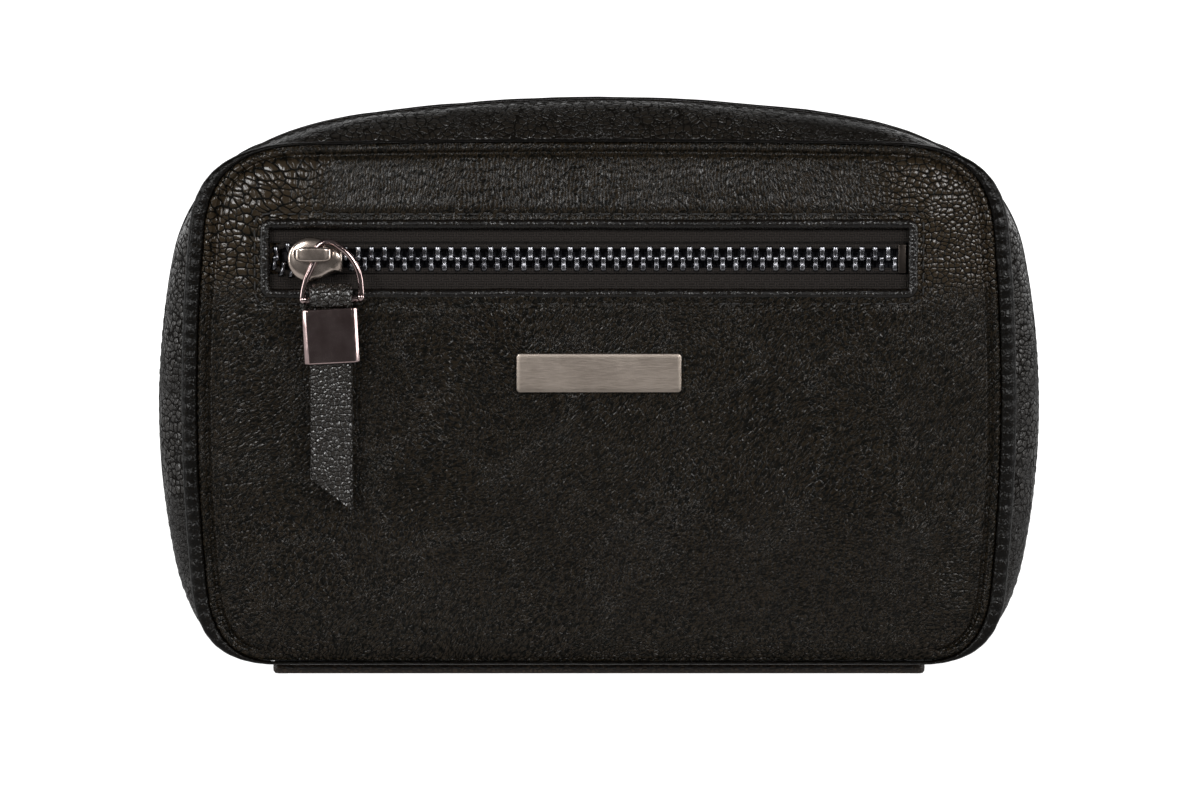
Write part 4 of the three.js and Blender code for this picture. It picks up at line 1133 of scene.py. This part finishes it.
def strap_middle_line():
    """Depth and height along the middle of the strip, from the back end over the pin to the front end"""
    reach = 0.95 * MM + LAYER / 2
    apart = (LAYER_GAP + LAYER) / 2
    start = -math.acos(apart / reach)
    turns = np.linspace(start, math.pi - start, 26)
    lifts = LOOP_RISE * smooth_step(np.sin(turns), -0.1, 0.5)
    arch = [(reach * math.cos(t), reach * math.sin(t) + lift) for t, lift in zip(turns, lifts)]
    length = PIN[1] - strap_low[2]
    leg = np.linspace(-length, arch[0][1] - 0.6 * MM, 60)
    back = [(apart, z) for z in leg]
    front = [(-apart, z) for z in leg[::-1]]
    return np.array([*back, *arch, *front])


def strap_section():
    """Half the strap's thickness at places across it, rounded off at both edges"""
    edge = 0.86
    across = np.linspace(-1, 1, 15)
    past = np.clip((np.abs(across) - edge) / (1 - edge), 0, 1)
    thick = LAYER / 2 * (0.15 + 0.85 * np.sqrt(1 - past**2))
    front = list(zip(across * STRAP_HALF, thick))
    return front + [(x, -r) for x, r in front[::-1]]


def strap_strip():
    foot = strap_low[2] - PIN[1]
    loops = []
    for (y, z), out in headed(strap_middle_line()):
        loop = []
        for x, r in strap_section():
            height = max(z, foot + STRAP_SLANT * (STRAP_HALF - x) / (2 * STRAP_HALF))
            loop.append((PIN[0] + x, WIRE_PLANE + y + out[0] * r, PIN[1] + height + out[1] * r))
        loops.append(loop)
    return loops


strap = lofted("pull_strap_leather", strap_strip(), STRAP_LEATHER)
settle(strap, "pull_tag", "leather", "pull_strap")

# Ferrule: a square sleeve with softened edges
ferrule_low, ferrule_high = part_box("pull_ferrule")
FERRULE_TILT = math.radians(3)
FERRULE_HALF = 5.25 * MM
FERRULE_DEPTH = (ferrule_high[1] - ferrule_low[1]) / 2
FERRULE_WALL = 0.6 * MM
ferrule_middle = np.array([(ferrule_low[0] + ferrule_high[0]) / 2, (ferrule_low[2] + ferrule_high[2]) / 2])
soft = 0.32 * MM


def ferrule_ring(half_width, half_depth, cut):
    """A rectangle whose corners are cut off on a slant, with the slant's own edges eased"""
    deep = 0.78 * cut
    corner = [(0.0, 1.25), (0.0, 1.06), (0.06, 0.95), (0.94, 0.07), (1.05, 0.0), (1.25, 0.0)]
    points = []
    for sx, sy in ((1, -1), (1, 1), (-1, 1), (-1, -1)):
        part = [(sx * (half_width - a * cut), sy * (half_depth - b * deep)) for a, b in corner]
        points += part if sx * sy > 0 else part[::-1]
    return np.array(points)


levels = [
    (FERRULE_WALL, -FERRULE_HALF + soft), (FERRULE_WALL * 0.7, -FERRULE_HALF + 0.25 * soft),
    (soft * 0.7, -FERRULE_HALF), (0.1 * soft, -FERRULE_HALF + 0.35 * soft), (0, -FERRULE_HALF + soft),
    (0, -FERRULE_HALF / 3), (0, FERRULE_HALF / 3),
    (0, FERRULE_HALF - soft), (0.1 * soft, FERRULE_HALF - 0.35 * soft), (soft * 0.7, FERRULE_HALF),
    (FERRULE_WALL * 0.7, FERRULE_HALF - 0.25 * soft), (FERRULE_WALL, FERRULE_HALF - soft),
]
loops = []
for shrink, height in levels:
    ring = ferrule_ring(FERRULE_HALF - shrink, FERRULE_DEPTH - shrink, max(0.95 * MM - shrink, 0.08 * MM))
    loop = []
    for x, y in ring:
        turned_x = x * math.cos(FERRULE_TILT) - height * math.sin(FERRULE_TILT)
        turned_z = x * math.sin(FERRULE_TILT) + height * math.cos(FERRULE_TILT)
        loop.append((ferrule_middle[0] + turned_x, WIRE_PLANE + y, ferrule_middle[1] + turned_z))
    loops.append(loop)
ferrule = lofted("pull_ferrule_sleeve", loops, GUNMETAL, close_loops=True)
settle(ferrule, "pull_tag", "slider_metal", "pull_ferrule")


# Nameplate: bare, with a soft bevel
plate_low, plate_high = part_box("name_plate")
plate_half = (Vector(plate_high) - Vector(plate_low)) / 2
plate_middle = (Vector(plate_high) + Vector(plate_low)) / 2
bevel_size = 0.22 * MM
loops = []
for shrink, depth in (
    (0, plate_high[1]), (0, plate_low[1] + bevel_size), (0.3 * bevel_size, plate_low[1] + 0.3 * bevel_size),
    (bevel_size, plate_low[1]), (4 * bevel_size, plate_low[1]),
):
    radius = max(0.7 * MM - shrink, 0.2 * MM)
    ring = rounded_rectangle(plate_half.x - shrink, plate_half.z - shrink, radius, 5)
    loops.append([(plate_middle.x + x, depth, plate_middle.z + z) for x, z in ring])
plate = lofted("nameplate_bare", loops, PLATE)
settle(plate, "front_half", "plate", "name_plate")


# Spine strip: leather folded round its edges, with a row of stitches along each long edge
spine_low, spine_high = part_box("spine_strip")
spine_half = (Vector(spine_high) - Vector(spine_low)) / 2
loops = []
for shrink, height in (
    (1.2 * MM, 0.0), (0.35 * MM, 0.05 * MM), (0.05 * MM, 0.45 * MM), (0, 1.1 * MM), (0.05 * MM, 1.75 * MM),
    (0.4 * MM, 2.15 * MM), (1.2 * MM, 2.2 * MM),
):
    radius = max(1.6 * MM - shrink, 0.3 * MM)
    ring = rounded_rectangle(spine_half.x - shrink, spine_half.y - shrink, radius, 5)
    loops.append([(x, y, height) for x, y in ring])
spine = lofted("spine_strip_leather", loops, SPINE_LEATHER)
settle(spine, "spine", "leather", "spine_strip")
reach = spine_half.x - 2 * MM
count = int(round(2 * reach / STITCH_PITCH))
rows = [((x, side * (spine_half.y - 0.02 * MM), 1.25 * MM), (1, 0, 0), (0, side, 0))
        for side in (-1, 1) for x in spaced(-reach, reach, count)]
stitch_rows("spine_stitches", rows, STITCH_LENGTH, 0.18 * MM, "spine")


# Small metal parts that keep their solids' shape: the main slider, its pull tab and the pocket zip's end stop
def eased_copy(name, node, body, material, width):
    """A CAD piece with its edges rounded"""
    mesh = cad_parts[node].data.copy()
    made = bpy.data.objects.new(name, mesh)
    bpy.context.scene.collection.objects.link(made)
    work = bmesh.new()
    work.from_mesh(mesh)
    bmesh.ops.remove_doubles(work, verts=work.verts, dist=1e-6)
    bmesh.ops.dissolve_limit(work, angle_limit=math.radians(1), verts=work.verts, edges=work.edges)
    sharp = [e for e in work.edges if len(e.link_faces) == 2 and e.calc_face_angle(0) > math.radians(30)]
    bmesh.ops.bevel(work, geom=sharp, offset=width, segments=3, affect="EDGES", profile=0.6,
                    clamp_overlap=True)
    work.to_mesh(mesh)
    work.free()
    mesh.materials.clear()
    mesh.materials.append(material)
    mesh.polygons.foreach_set("use_smooth", [True] * len(mesh.polygons))
    mesh.set_sharp_from_angle(angle=math.radians(40))
    return settle(made, body, "slider_metal", node)


eased_copy("main_slider_shield", "main_slider_body", "main_slider", SLIDER_METAL, 0.35 * MM)
eased_copy("main_slider_arch", "main_slider_bridge", "main_slider", GUNMETAL, 0.2 * MM)
eased_copy("main_pull_tab_metal", "main_pull_tab", "main_pull", GUNMETAL, 0.18 * MM)
eased_copy("pocket_zip_end_stop", "pocket_zip_stop", "front_half", BLACKENED, 0.25 * MM)


# Layers and things inside

def layer(name, ring, levels, material, sway, seed, side=1):
    """A layer over a flat outline. levels are (inset, depth), from the middle of its back round its edge to
    the middle of its front; a level with no inset is a row of rings across the face, which sways a little."""
    centre = (ring.max(0) + ring.min(0)) / 2
    order = (0.08, 0.2, 0.35, 0.5, 0.62, 0.74, 0.84, 0.92, 0.97)
    loops = []
    inset = levels[1][0]
    for step, depth in levels:
        if step is not None:
            inset = step
            loops.append(at(pushed(ring, inset), depth, side))
            continue
        first = not loops
        for share in order if first else order[::-1]:
            places = at(centre + (pushed(ring, inset) - centre) * share, depth, side)
            sways = sway * min(1.0, 4 * (1 - share))
            places[:, 1] += waves(places, 14 * MM, seed + (0 if first else 3), 2) * sways
            loops.append(places)
    return lofted(name, loops, material)


def webbing(name, path, low, high, thickness, material):
    """A flat band that follows (x, depth) points, standing from one height to another"""
    middle, half = (low + high) / 2, (high - low) / 2
    section = rounded_rectangle(thickness / 2, half, 0.42 * thickness, 3)
    loops = [[(x + out[0] * a, y + out[1] * a, middle + b) for a, b in section]
             for (x, y), out in headed(path)]
    return lofted(name, loops, material)


def smooth_path(points):
    """An open curve through points, with its corners eased"""
    path = np.array(points, float)
    for _ in range(3):
        cut = [path[0]]
        for a, b in zip(path, path[1:]):
            cut += [0.75 * a + 0.25 * b, 0.25 * a + 0.75 * b]
        path = np.array([*cut, path[-1]])
    return path


def drawn_in(distance):
    """The panel's outline drawn in evenly toward its middle"""
    middle = (RIDGE["low"] + RIDGE["high"]) / 2
    half = (RIDGE["high"] - RIDGE["low"]) / 2
    shares = np.array([1 - distance / RIDGE["half_width"], 1 - distance / half])
    return (RIDGE_LINE - np.array([0, middle])) * shares + np.array([0, middle])


def upright_box(node):
    """A node's corners as (left, right, front, back, low, high)"""
    low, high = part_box(node)
    return low[0], high[0], low[1], high[1], low[2], high[2]


def front_ring(node, radius):
    """A node's outline seen from the front, with rounded corners"""
    left, right, front, back, low, high = upright_box(node)
    ring = rounded_rectangle((right - left) / 2, (high - low) / 2, radius, 8)
    return ring + np.array([(left + right) / 2, (low + high) / 2])


# Each half's lining, stitched round, and the foam under its leather
for half, side in (("front", -1), ("rear", 1)):
    body = half + "_half"
    left, right, front, back, low, high = upright_box(half + "_lining")
    near, far = sorted((abs(front), abs(back)))
    ring = drawn_in(3.2 * MM)
    levels = [(None, far), (0.5 * MM, far), (0.1 * MM, far - 0.1 * MM), (0, (near + far) / 2),
              (0.12 * MM, near + 0.08 * MM), (0.6 * MM, near - 0.02 * MM), (1.7 * MM, near - 0.05 * MM),
              (2.2 * MM, near + 0.12 * MM), (2.7 * MM, near - 0.05 * MM), (None, near - 0.04 * MM)]
    cloth = layer(half + "_lining_cloth", ring, levels, LINING, 0.1 * MM, 41, side)
    settle(cloth, body, "lining", half + "_lining")
    half + "_board"
    stitches_along(half + "_lining_stitches", ring, side * (near + 0.02 * MM), -side, body, 2.2 * MM)


def foam_pad(name, side, body, node, slot):
    """The foam under the leather: crowned to the leather's inside, with the pocket's slot cut through"""
    columns, rows = 120, 84
    low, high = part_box(node)
    near, top = sorted((abs(low[1]), abs(high[1])))
    half = np.array([high[0] - low[0], high[2] - low[2]]) / 2
    middle = np.array([high[0] + low[0], high[2] + low[2]]) / 2
    u, v = np.meshgrid(np.linspace(-1, 1, columns), np.linspace(-1, 1, rows))
    # Each corner is rounded over the last quarter of the height
    past = np.clip((np.abs(v) - 0.74) / 0.26, 0, 1)
    narrowed = 1 - 0.17 * (1 - np.sqrt(1 - past**2))
    x = middle[0] + u * half[0] * narrowed
    z = middle[1] + v * half[1]
    edge = np.minimum((1 - np.abs(u)) * half[0], (1 - np.abs(v)) * half[1])
    rise = 0.35 + 0.65 * (1 - np.exp(-edge / (9 * MM)))
    places = np.stack([x.ravel(), np.zeros(x.size), z.ravel()], 1)
    outer = near + (top - near) * rise.ravel() + 0.05 * MM * waves(places, 5 * MM, 61, 2) - 0.05 * MM
    front = np.stack([x.ravel(), side * outer, z.ravel()], 1)
    back = np.stack([x.ravel(), np.full(x.size, side * near), z.ravel()], 1)
    quads = np.array(grid_faces(rows, columns, False, False))
    if slot:
        middles = front[quads].mean(1)
        quads = quads[from_slot(middles[:, 0], middles[:, 2], 2.8 * MM) > 0]
    count = x.size
    sides = {(a, b) for quad in quads for a, b in zip(quad, np.roll(quad, -1))}
    rim = [(a, b) for a, b in sorted(sides) if (b, a) not in sides]
    faces = [tuple(q) for q in quads] + [tuple(count + i for i in q[::-1]) for q in quads]
    faces += [(b, a, count + a, count + b) for a, b in rim]
    made = turned_out(to_object(name, np.vstack([front, back]), faces, FOAM))
    settle(made, body, "foam", node)


foam_pad("front_foam_pad", -1, "front_half", "front_foam", True)
foam_pad("rear_foam_pad", 1, "rear_half", "rear_foam", False)


# Outside pocket's bag: a shell with a mouth behind the zip, seamed round
def pocket_bag():
    left, right, front, back, low, high = upright_box("pocket_bag")
    middle = np.array([(left + right) / 2, (low + high) / 2])
    outer = front_ring("pocket_bag", 5 * MM)
    mouth = rounded_rectangle((right - left) / 2 - 8 * MM, 2.8 * MM, 1.2 * MM, 8)
    mouth += np.array([middle[0], CHAIN_HEIGHT])
    loops = [at(mouth, front + 0.35 * MM, 1)]
    for share in (0.04, 0.15, 0.35, 0.6, 0.85, 0.96):
        places = at(mouth + (outer - mouth) * share, front + 0.3 * MM, 1)
        places[:, 1] += 0.12 * MM * waves(places, 12 * MM, 71, 2)
        loops.append(places)
    seam = (front + back) / 2
    loops.append(at(pushed(outer, 0.4 * MM), seam - 0.25 * MM, 1))
    loops.append(at(outer, seam, 1))
    loops.append(at(pushed(outer, 0.4 * MM), seam + 0.25 * MM, 1))
    for share in (0.96, 0.85, 0.6, 0.35, 0.15, 0.05):
        places = at(middle + (outer - middle) * share, back - 0.3 * MM, 1)
        places[:, 1] += 0.12 * MM * waves(places, 12 * MM, 72, 2)
        loops.append(places)
    rows, columns = len(loops), len(outer)
    faces = grid_faces(rows, columns, False, True)
    faces.append(tuple(range((rows - 1) * columns, rows * columns)))
    bag = turned_out(to_object("pocket_bag_cloth", np.vstack(loops), faces, LINING))
    thick = bag.modifiers.new("cloth", "SOLIDIFY")
    thick.thickness = 0.3 * MM
    thick.offset = -1
    settle(bag, "front_half", "lining", "pocket_bag")


pocket_bag()


# Zip tapes of the outside pocket: woven strips whose inner edges turn toward the cord
def pocket_tape(up, node):
    left, right, front, back, low, high = upright_box(node)
    inner, outer = (low, high) if up > 0 else (high, low)
    depth = (front + back) / 2
    thick = 0.5 * (back - front)
    stations = np.linspace(left, right, 150)
    loops = []
    for x in stations:
        wave = noise.noise(Vector((x / (9 * MM), up * 3.1, 0.0))) * 0.12 * MM
        section = [
            (outer, -thick), (outer - up * 1.2 * MM, -thick),
            (outer - up * 3 * MM, -0.9 * thick + 0.5 * wave), (inner + up * 0.6 * MM, -0.8 * thick + wave),
            (inner, -0.5 * thick + wave), (inner - up * 0.12 * MM, wave), (inner, 0.5 * thick + wave),
            (inner + up * 0.6 * MM, 0.8 * thick + wave), (outer - up * 3 * MM, 0.9 * thick + 0.5 * wave),
            (outer, thick),
        ]
        loops.append([(x, depth + rise, z) for z, rise in section])
    tape = lofted(node + "_woven", loops, TAPE)
    settle(tape, "front_half", "zip_tape", node)


pocket_tape(1, "pocket_zip_tape_upper")
pocket_tape(-1, "pocket_zip_tape_lower")

# Main zip tapes, on the path round the waist
for half, side, seed in (("front", -1, 5), ("rear", 1, 9)):
    section = rounded_section(3.92 * MM, 4.38 * MM, 2.9 * MM, 8.1 * MM, 0.18 * MM)
    tape = strip_along(half + "_side_tape_woven", section, SIDE_TAPE, side, 0.06 * MM, seed)
    settle(tape, half + "_half", "zip_tape", "main_zip_tape_" + half)

# Spine lining: a strip of lining cloth stitched down along its long edges
left, right, front, back, low, high = upright_box("spine_lining")
ring = rounded_rectangle((right - left) / 2, (back - front) / 2, 1.2 * MM, 6)
loops = []
for share, height in (
    (0.1, low), (0.5, low), (0.9, low), (0.985, low + 0.05 * MM), (1.0, (low + high) / 2),
    (0.99, high - 0.12 * MM), (0.96, high - 0.02 * MM), (0.9, high - 0.1 * MM), (0.84, high), (0.6, high),
    (0.4, high), (0.2, high), (0.05, high),
):
    scaled = ring * np.array([1 - (1 - share) * 0.12 if share > 0.8 else share, share])
    rise = 0.06 * MM * waves(np.stack([scaled[:, 0], scaled[:, 1], np.zeros(len(scaled))], 1), 7 * MM, 81, 2)
    heights = height - (np.abs(rise) if height > low + 0.4 * MM else np.zeros(len(scaled)))
    loops.append(np.stack([scaled[:, 0], scaled[:, 1], heights], 1))
spine_cloth = lofted("spine_lining_cloth", loops, LINING)
settle(spine_cloth, "spine", "lining", "spine_lining")
count = int((right - left - 4 * MM) / STITCH_PITCH)
rows = [((x, side * 5.6 * MM, high), (1, 0, 0), (0, 0, 1))
        for side in (-1, 1) for x in spaced(left + 2 * MM, right - 2 * MM, count)]
stitch_rows("spine_lining_stitches", rows, STITCH_LENGTH, 0.16 * MM, "spine")

# Meter pad: hook cloth on foam, stitched down round its edge
left, right, front, back, low, high = upright_box("meter_pad")
ring = front_ring("meter_pad", 3 * MM)
levels = [(None, back), (0.4 * MM, back), (0, back - 0.3 * MM), (0.02 * MM, front + 0.75 * MM),
          (0.3 * MM, front + 0.45 * MM), (1.0 * MM, front + 0.4 * MM), (1.7 * MM, front + 0.35 * MM),
          (2.6 * MM, front + 0.08 * MM), (3.6 * MM, front), (None, front)]
pad = layer("meter_pad_hooks", ring, levels, HOOKS, 0.06 * MM, 51)
settle(pad, "rear_half", "hook_pad", "meter_pad")
stitches_along("meter_pad_stitches", ring, front + 0.42 * MM, -1, "rear_half", 1.35 * MM)


# Bands and loops of elastic, sewn down at their feet
def elastic_band(node, name, points, thickness, material, near, far):
    """A band that follows (place, rise) points in millimetres, with two rows of stitches at each foot, which
    lie near and far from its end"""
    left, right, front, back, low, high = upright_box(node)
    base = back - thickness / 2
    path = [((left + right) / 2 + x * MM, base - rise * MM) for x, rise in points]
    settle(webbing(name, smooth_path(path), low, high, thickness, material), "rear_half", "elastic", node)
    count = max(3, int((high - low - 2 * MM) / (2.2 * MM)))
    rows = [((x, base - thickness / 2, z), (0, 0, 1), (0, -1, 0))
            for x in (left + near, left + far, right - far, right - near)
            for z in spaced(low + MM, high - MM, count)]
    stitch_rows(node + "_stitches", rows, 1.5 * MM, 0.16 * MM, "rear_half")


band_half = [(8, 1.5), (20, 1.5), (22.2, 1.45), (24.4, 0), (25.5, 0), (27, 0)]
band = [(-x, rise) for x, rise in band_half[::-1]] + band_half
elastic_band("meter_band", "meter_band_elastic", band, 0.75 * MM, ELASTIC, 0.7 * MM, 1.9 * MM)
for node, half in (("lancing_loop", 8), ("vial_loop", 12)):
    arch = [(half * math.cos(t), half * math.sin(t)) for t in np.linspace(math.pi, 0, 15)]
    foot = [(half + 0.7, 0), (half + 2, 0), (half + 4, 0)]
    points = [(-x, rise) for x, rise in foot[::-1]] + arch + foot
    elastic_band(node, node + "_elastic", points, 0.95 * MM, LOOP_ELASTIC, 0.9 * MM, 2.6 * MM)

# Net pocket inside the front half, with an elastic binding along its mouth
left, right, front, back, low, high = upright_box("mesh_pocket")
ring = front_ring("mesh_pocket", 2.5 * MM)
levels = [(None, front + 0.1 * MM), (0.3 * MM, front + 0.08 * MM), (0, front + 0.25 * MM),
          (0.3 * MM, back - 0.08 * MM), (1.6 * MM, back - 0.05 * MM), (2.2 * MM, back - 0.12 * MM),
          (None, back - 0.1 * MM)]
net = layer("mesh_pocket_net", ring, levels, NET, 0.08 * MM, 55)
settle(net, "front_half", "mesh", "mesh_pocket")
seam_depth = back - 0.08 * MM
left, right, front, back, low, high = upright_box("mesh_pocket_binding")
depth = (front + back) / 2
path = [(x, depth + 0.05 * MM * math.sin(k * 0.9)) for k, x in enumerate(np.linspace(left, right, 70))]
binding = webbing("mesh_pocket_edge_elastic", path, low, high, back - front - 0.1 * MM, ELASTIC)
settle(binding, "front_half", "elastic", "mesh_pocket_binding")
count = int((right - left - 4 * MM) / STITCH_PITCH)
rows = [((x, back - 0.03 * MM, low + 0.8 * MM), (1, 0, 0), (0, 1, 0))
        for x in spaced(left + 2 * MM, right - 2 * MM, count)]
stitch_rows("mesh_pocket_stitches", rows, STITCH_LENGTH, 0.16 * MM, "front_half")
stitches_along("mesh_pocket_edge_stitches", ring, seam_depth, 1, "front_half", 2.2 * MM)


# The boards keep their solids, with a finish of their own
for half in ("front", "rear"):
    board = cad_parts[half + "_board"]
    board.data.materials.clear()
    board.data.materials.append(BOARD)


# Floor, lights and background. The case stands on a low white stand, because its opened halves lie down
# beside the spine with their panels below it.
STAND_HEIGHT = 0.0145
STAND_HALF = (0.0605, 0.0148)
FLOOR_REACH = 30
FLOOR_FRONT = -0.2


def set_stage(name, corners, faces, near, far):
    """A pale piece of the stage, whose glow in what the camera sees goes from near to far"""
    mesh = bpy.data.meshes.new(name)
    mesh.from_pydata(corners, [], faces)
    made = bpy.data.objects.new(name, mesh)
    bpy.context.scene.collection.objects.link(made)
    finish = Finish("pale_" + name, 0.9, specular=0.1)
    seen = finish.node("LightPath", output="Is Camera Ray")
    grain = finish.noise(finish.places(), 0.4, 2.0)
    finish.colour(finish.mixed(grain, (0.50, 0.50, 0.50, 1), (0.52, 0.52, 0.52, 1)))
    finish.shader.inputs["Emission Strength"].default_value = 1.0
    distance = finish.split(finish.places())[1]
    glow = seen * (near + (far - near) * distance.between(0.1, 1.2))
    finish.join(finish.shader.inputs["Emission Color"], finish.vector(glow, glow, glow))
    mesh.materials.append(finish.material)


square = ((-1, -1), (1, -1), (1, 1), (-1, 1))
set_stage("floor",
          [(x * FLOOR_REACH, FLOOR_REACH if y > 0 else FLOOR_FRONT, -STAND_HEIGHT) for x, y in square],
          [(0, 1, 2, 3)], 0.72, 1.12)
set_stage("stand",
          [(x * STAND_HALF[0], y * STAND_HALF[1], z) for z in (-STAND_HEIGHT, 0) for x, y in square],
          [(4, 5, 6, 7), (0, 1, 5, 4), (1, 2, 6, 5), (2, 3, 7, 6), (3, 0, 4, 7)], 1.0, 1.0)

# The backdrop is white low down behind the case, and dim behind the camera and overhead, where a studio is
# dark. FILL is what it gives to matt surfaces, and the camera sees plain white.
BACKDROP = 1.0
ROOM = 0.07
FILL = 0.45
world = bpy.data.worlds.new("studio")
bpy.context.scene.world = world
world.use_nodes = True
world.cycles.sampling_method = "NONE"
background = world.node_tree.nodes["Background"]
background.inputs["Color"].default_value = (1, 1, 1, 1)
sky = Nodes(world.node_tree)
RAYS = ("Camera", "Diffuse", "Glossy", "Transmission")
camera_ray, diffuse_ray, glossy_ray, through_ray = (
    sky.node("LightPath", output="Is " + kind + " Ray") for kind in RAYS
)
x, y, z = sky.split(sky.node("TexCoord", output="Generated"))
behind = (y * 2.2 + 0.1).most(0.0).least(1.0) * (1 - (z * 2.6 - 0.3)).most(0.04).least(1.0)
mirror = behind * (BACKDROP - ROOM) + ROOM
strength = diffuse_ray * FILL + glossy_ray.most(through_ray) * mirror
sky.join(background.inputs["Strength"], strength.most(camera_ray))

TARGET = Vector((0, 0, 0.06))
for kind, place, size, power in (
    ("box", (0.60, -1.02, 0.465), (0.50, 0.32), 11),
    ("edge", (1.2, -0.2, 0.30), (0.3, 0.8), 6),
):
    for hand, side in (("left", -1), ("right", 1)):
        light = bpy.data.lights.new(hand + "_" + kind, "AREA")
        light.shape = "RECTANGLE"
        light.size, light.size_y = size
        light.energy = power
        lamp = bpy.data.objects.new(hand + "_" + kind, light)
        lamp.location = (side * place[0], place[1], place[2])
        lamp.rotation_euler = (lamp.location - TARGET).to_track_quat("Z", "Y").to_euler()
        bpy.context.scene.collection.objects.link(lamp)

bpy.context.scene.view_settings.view_transform = "Standard"
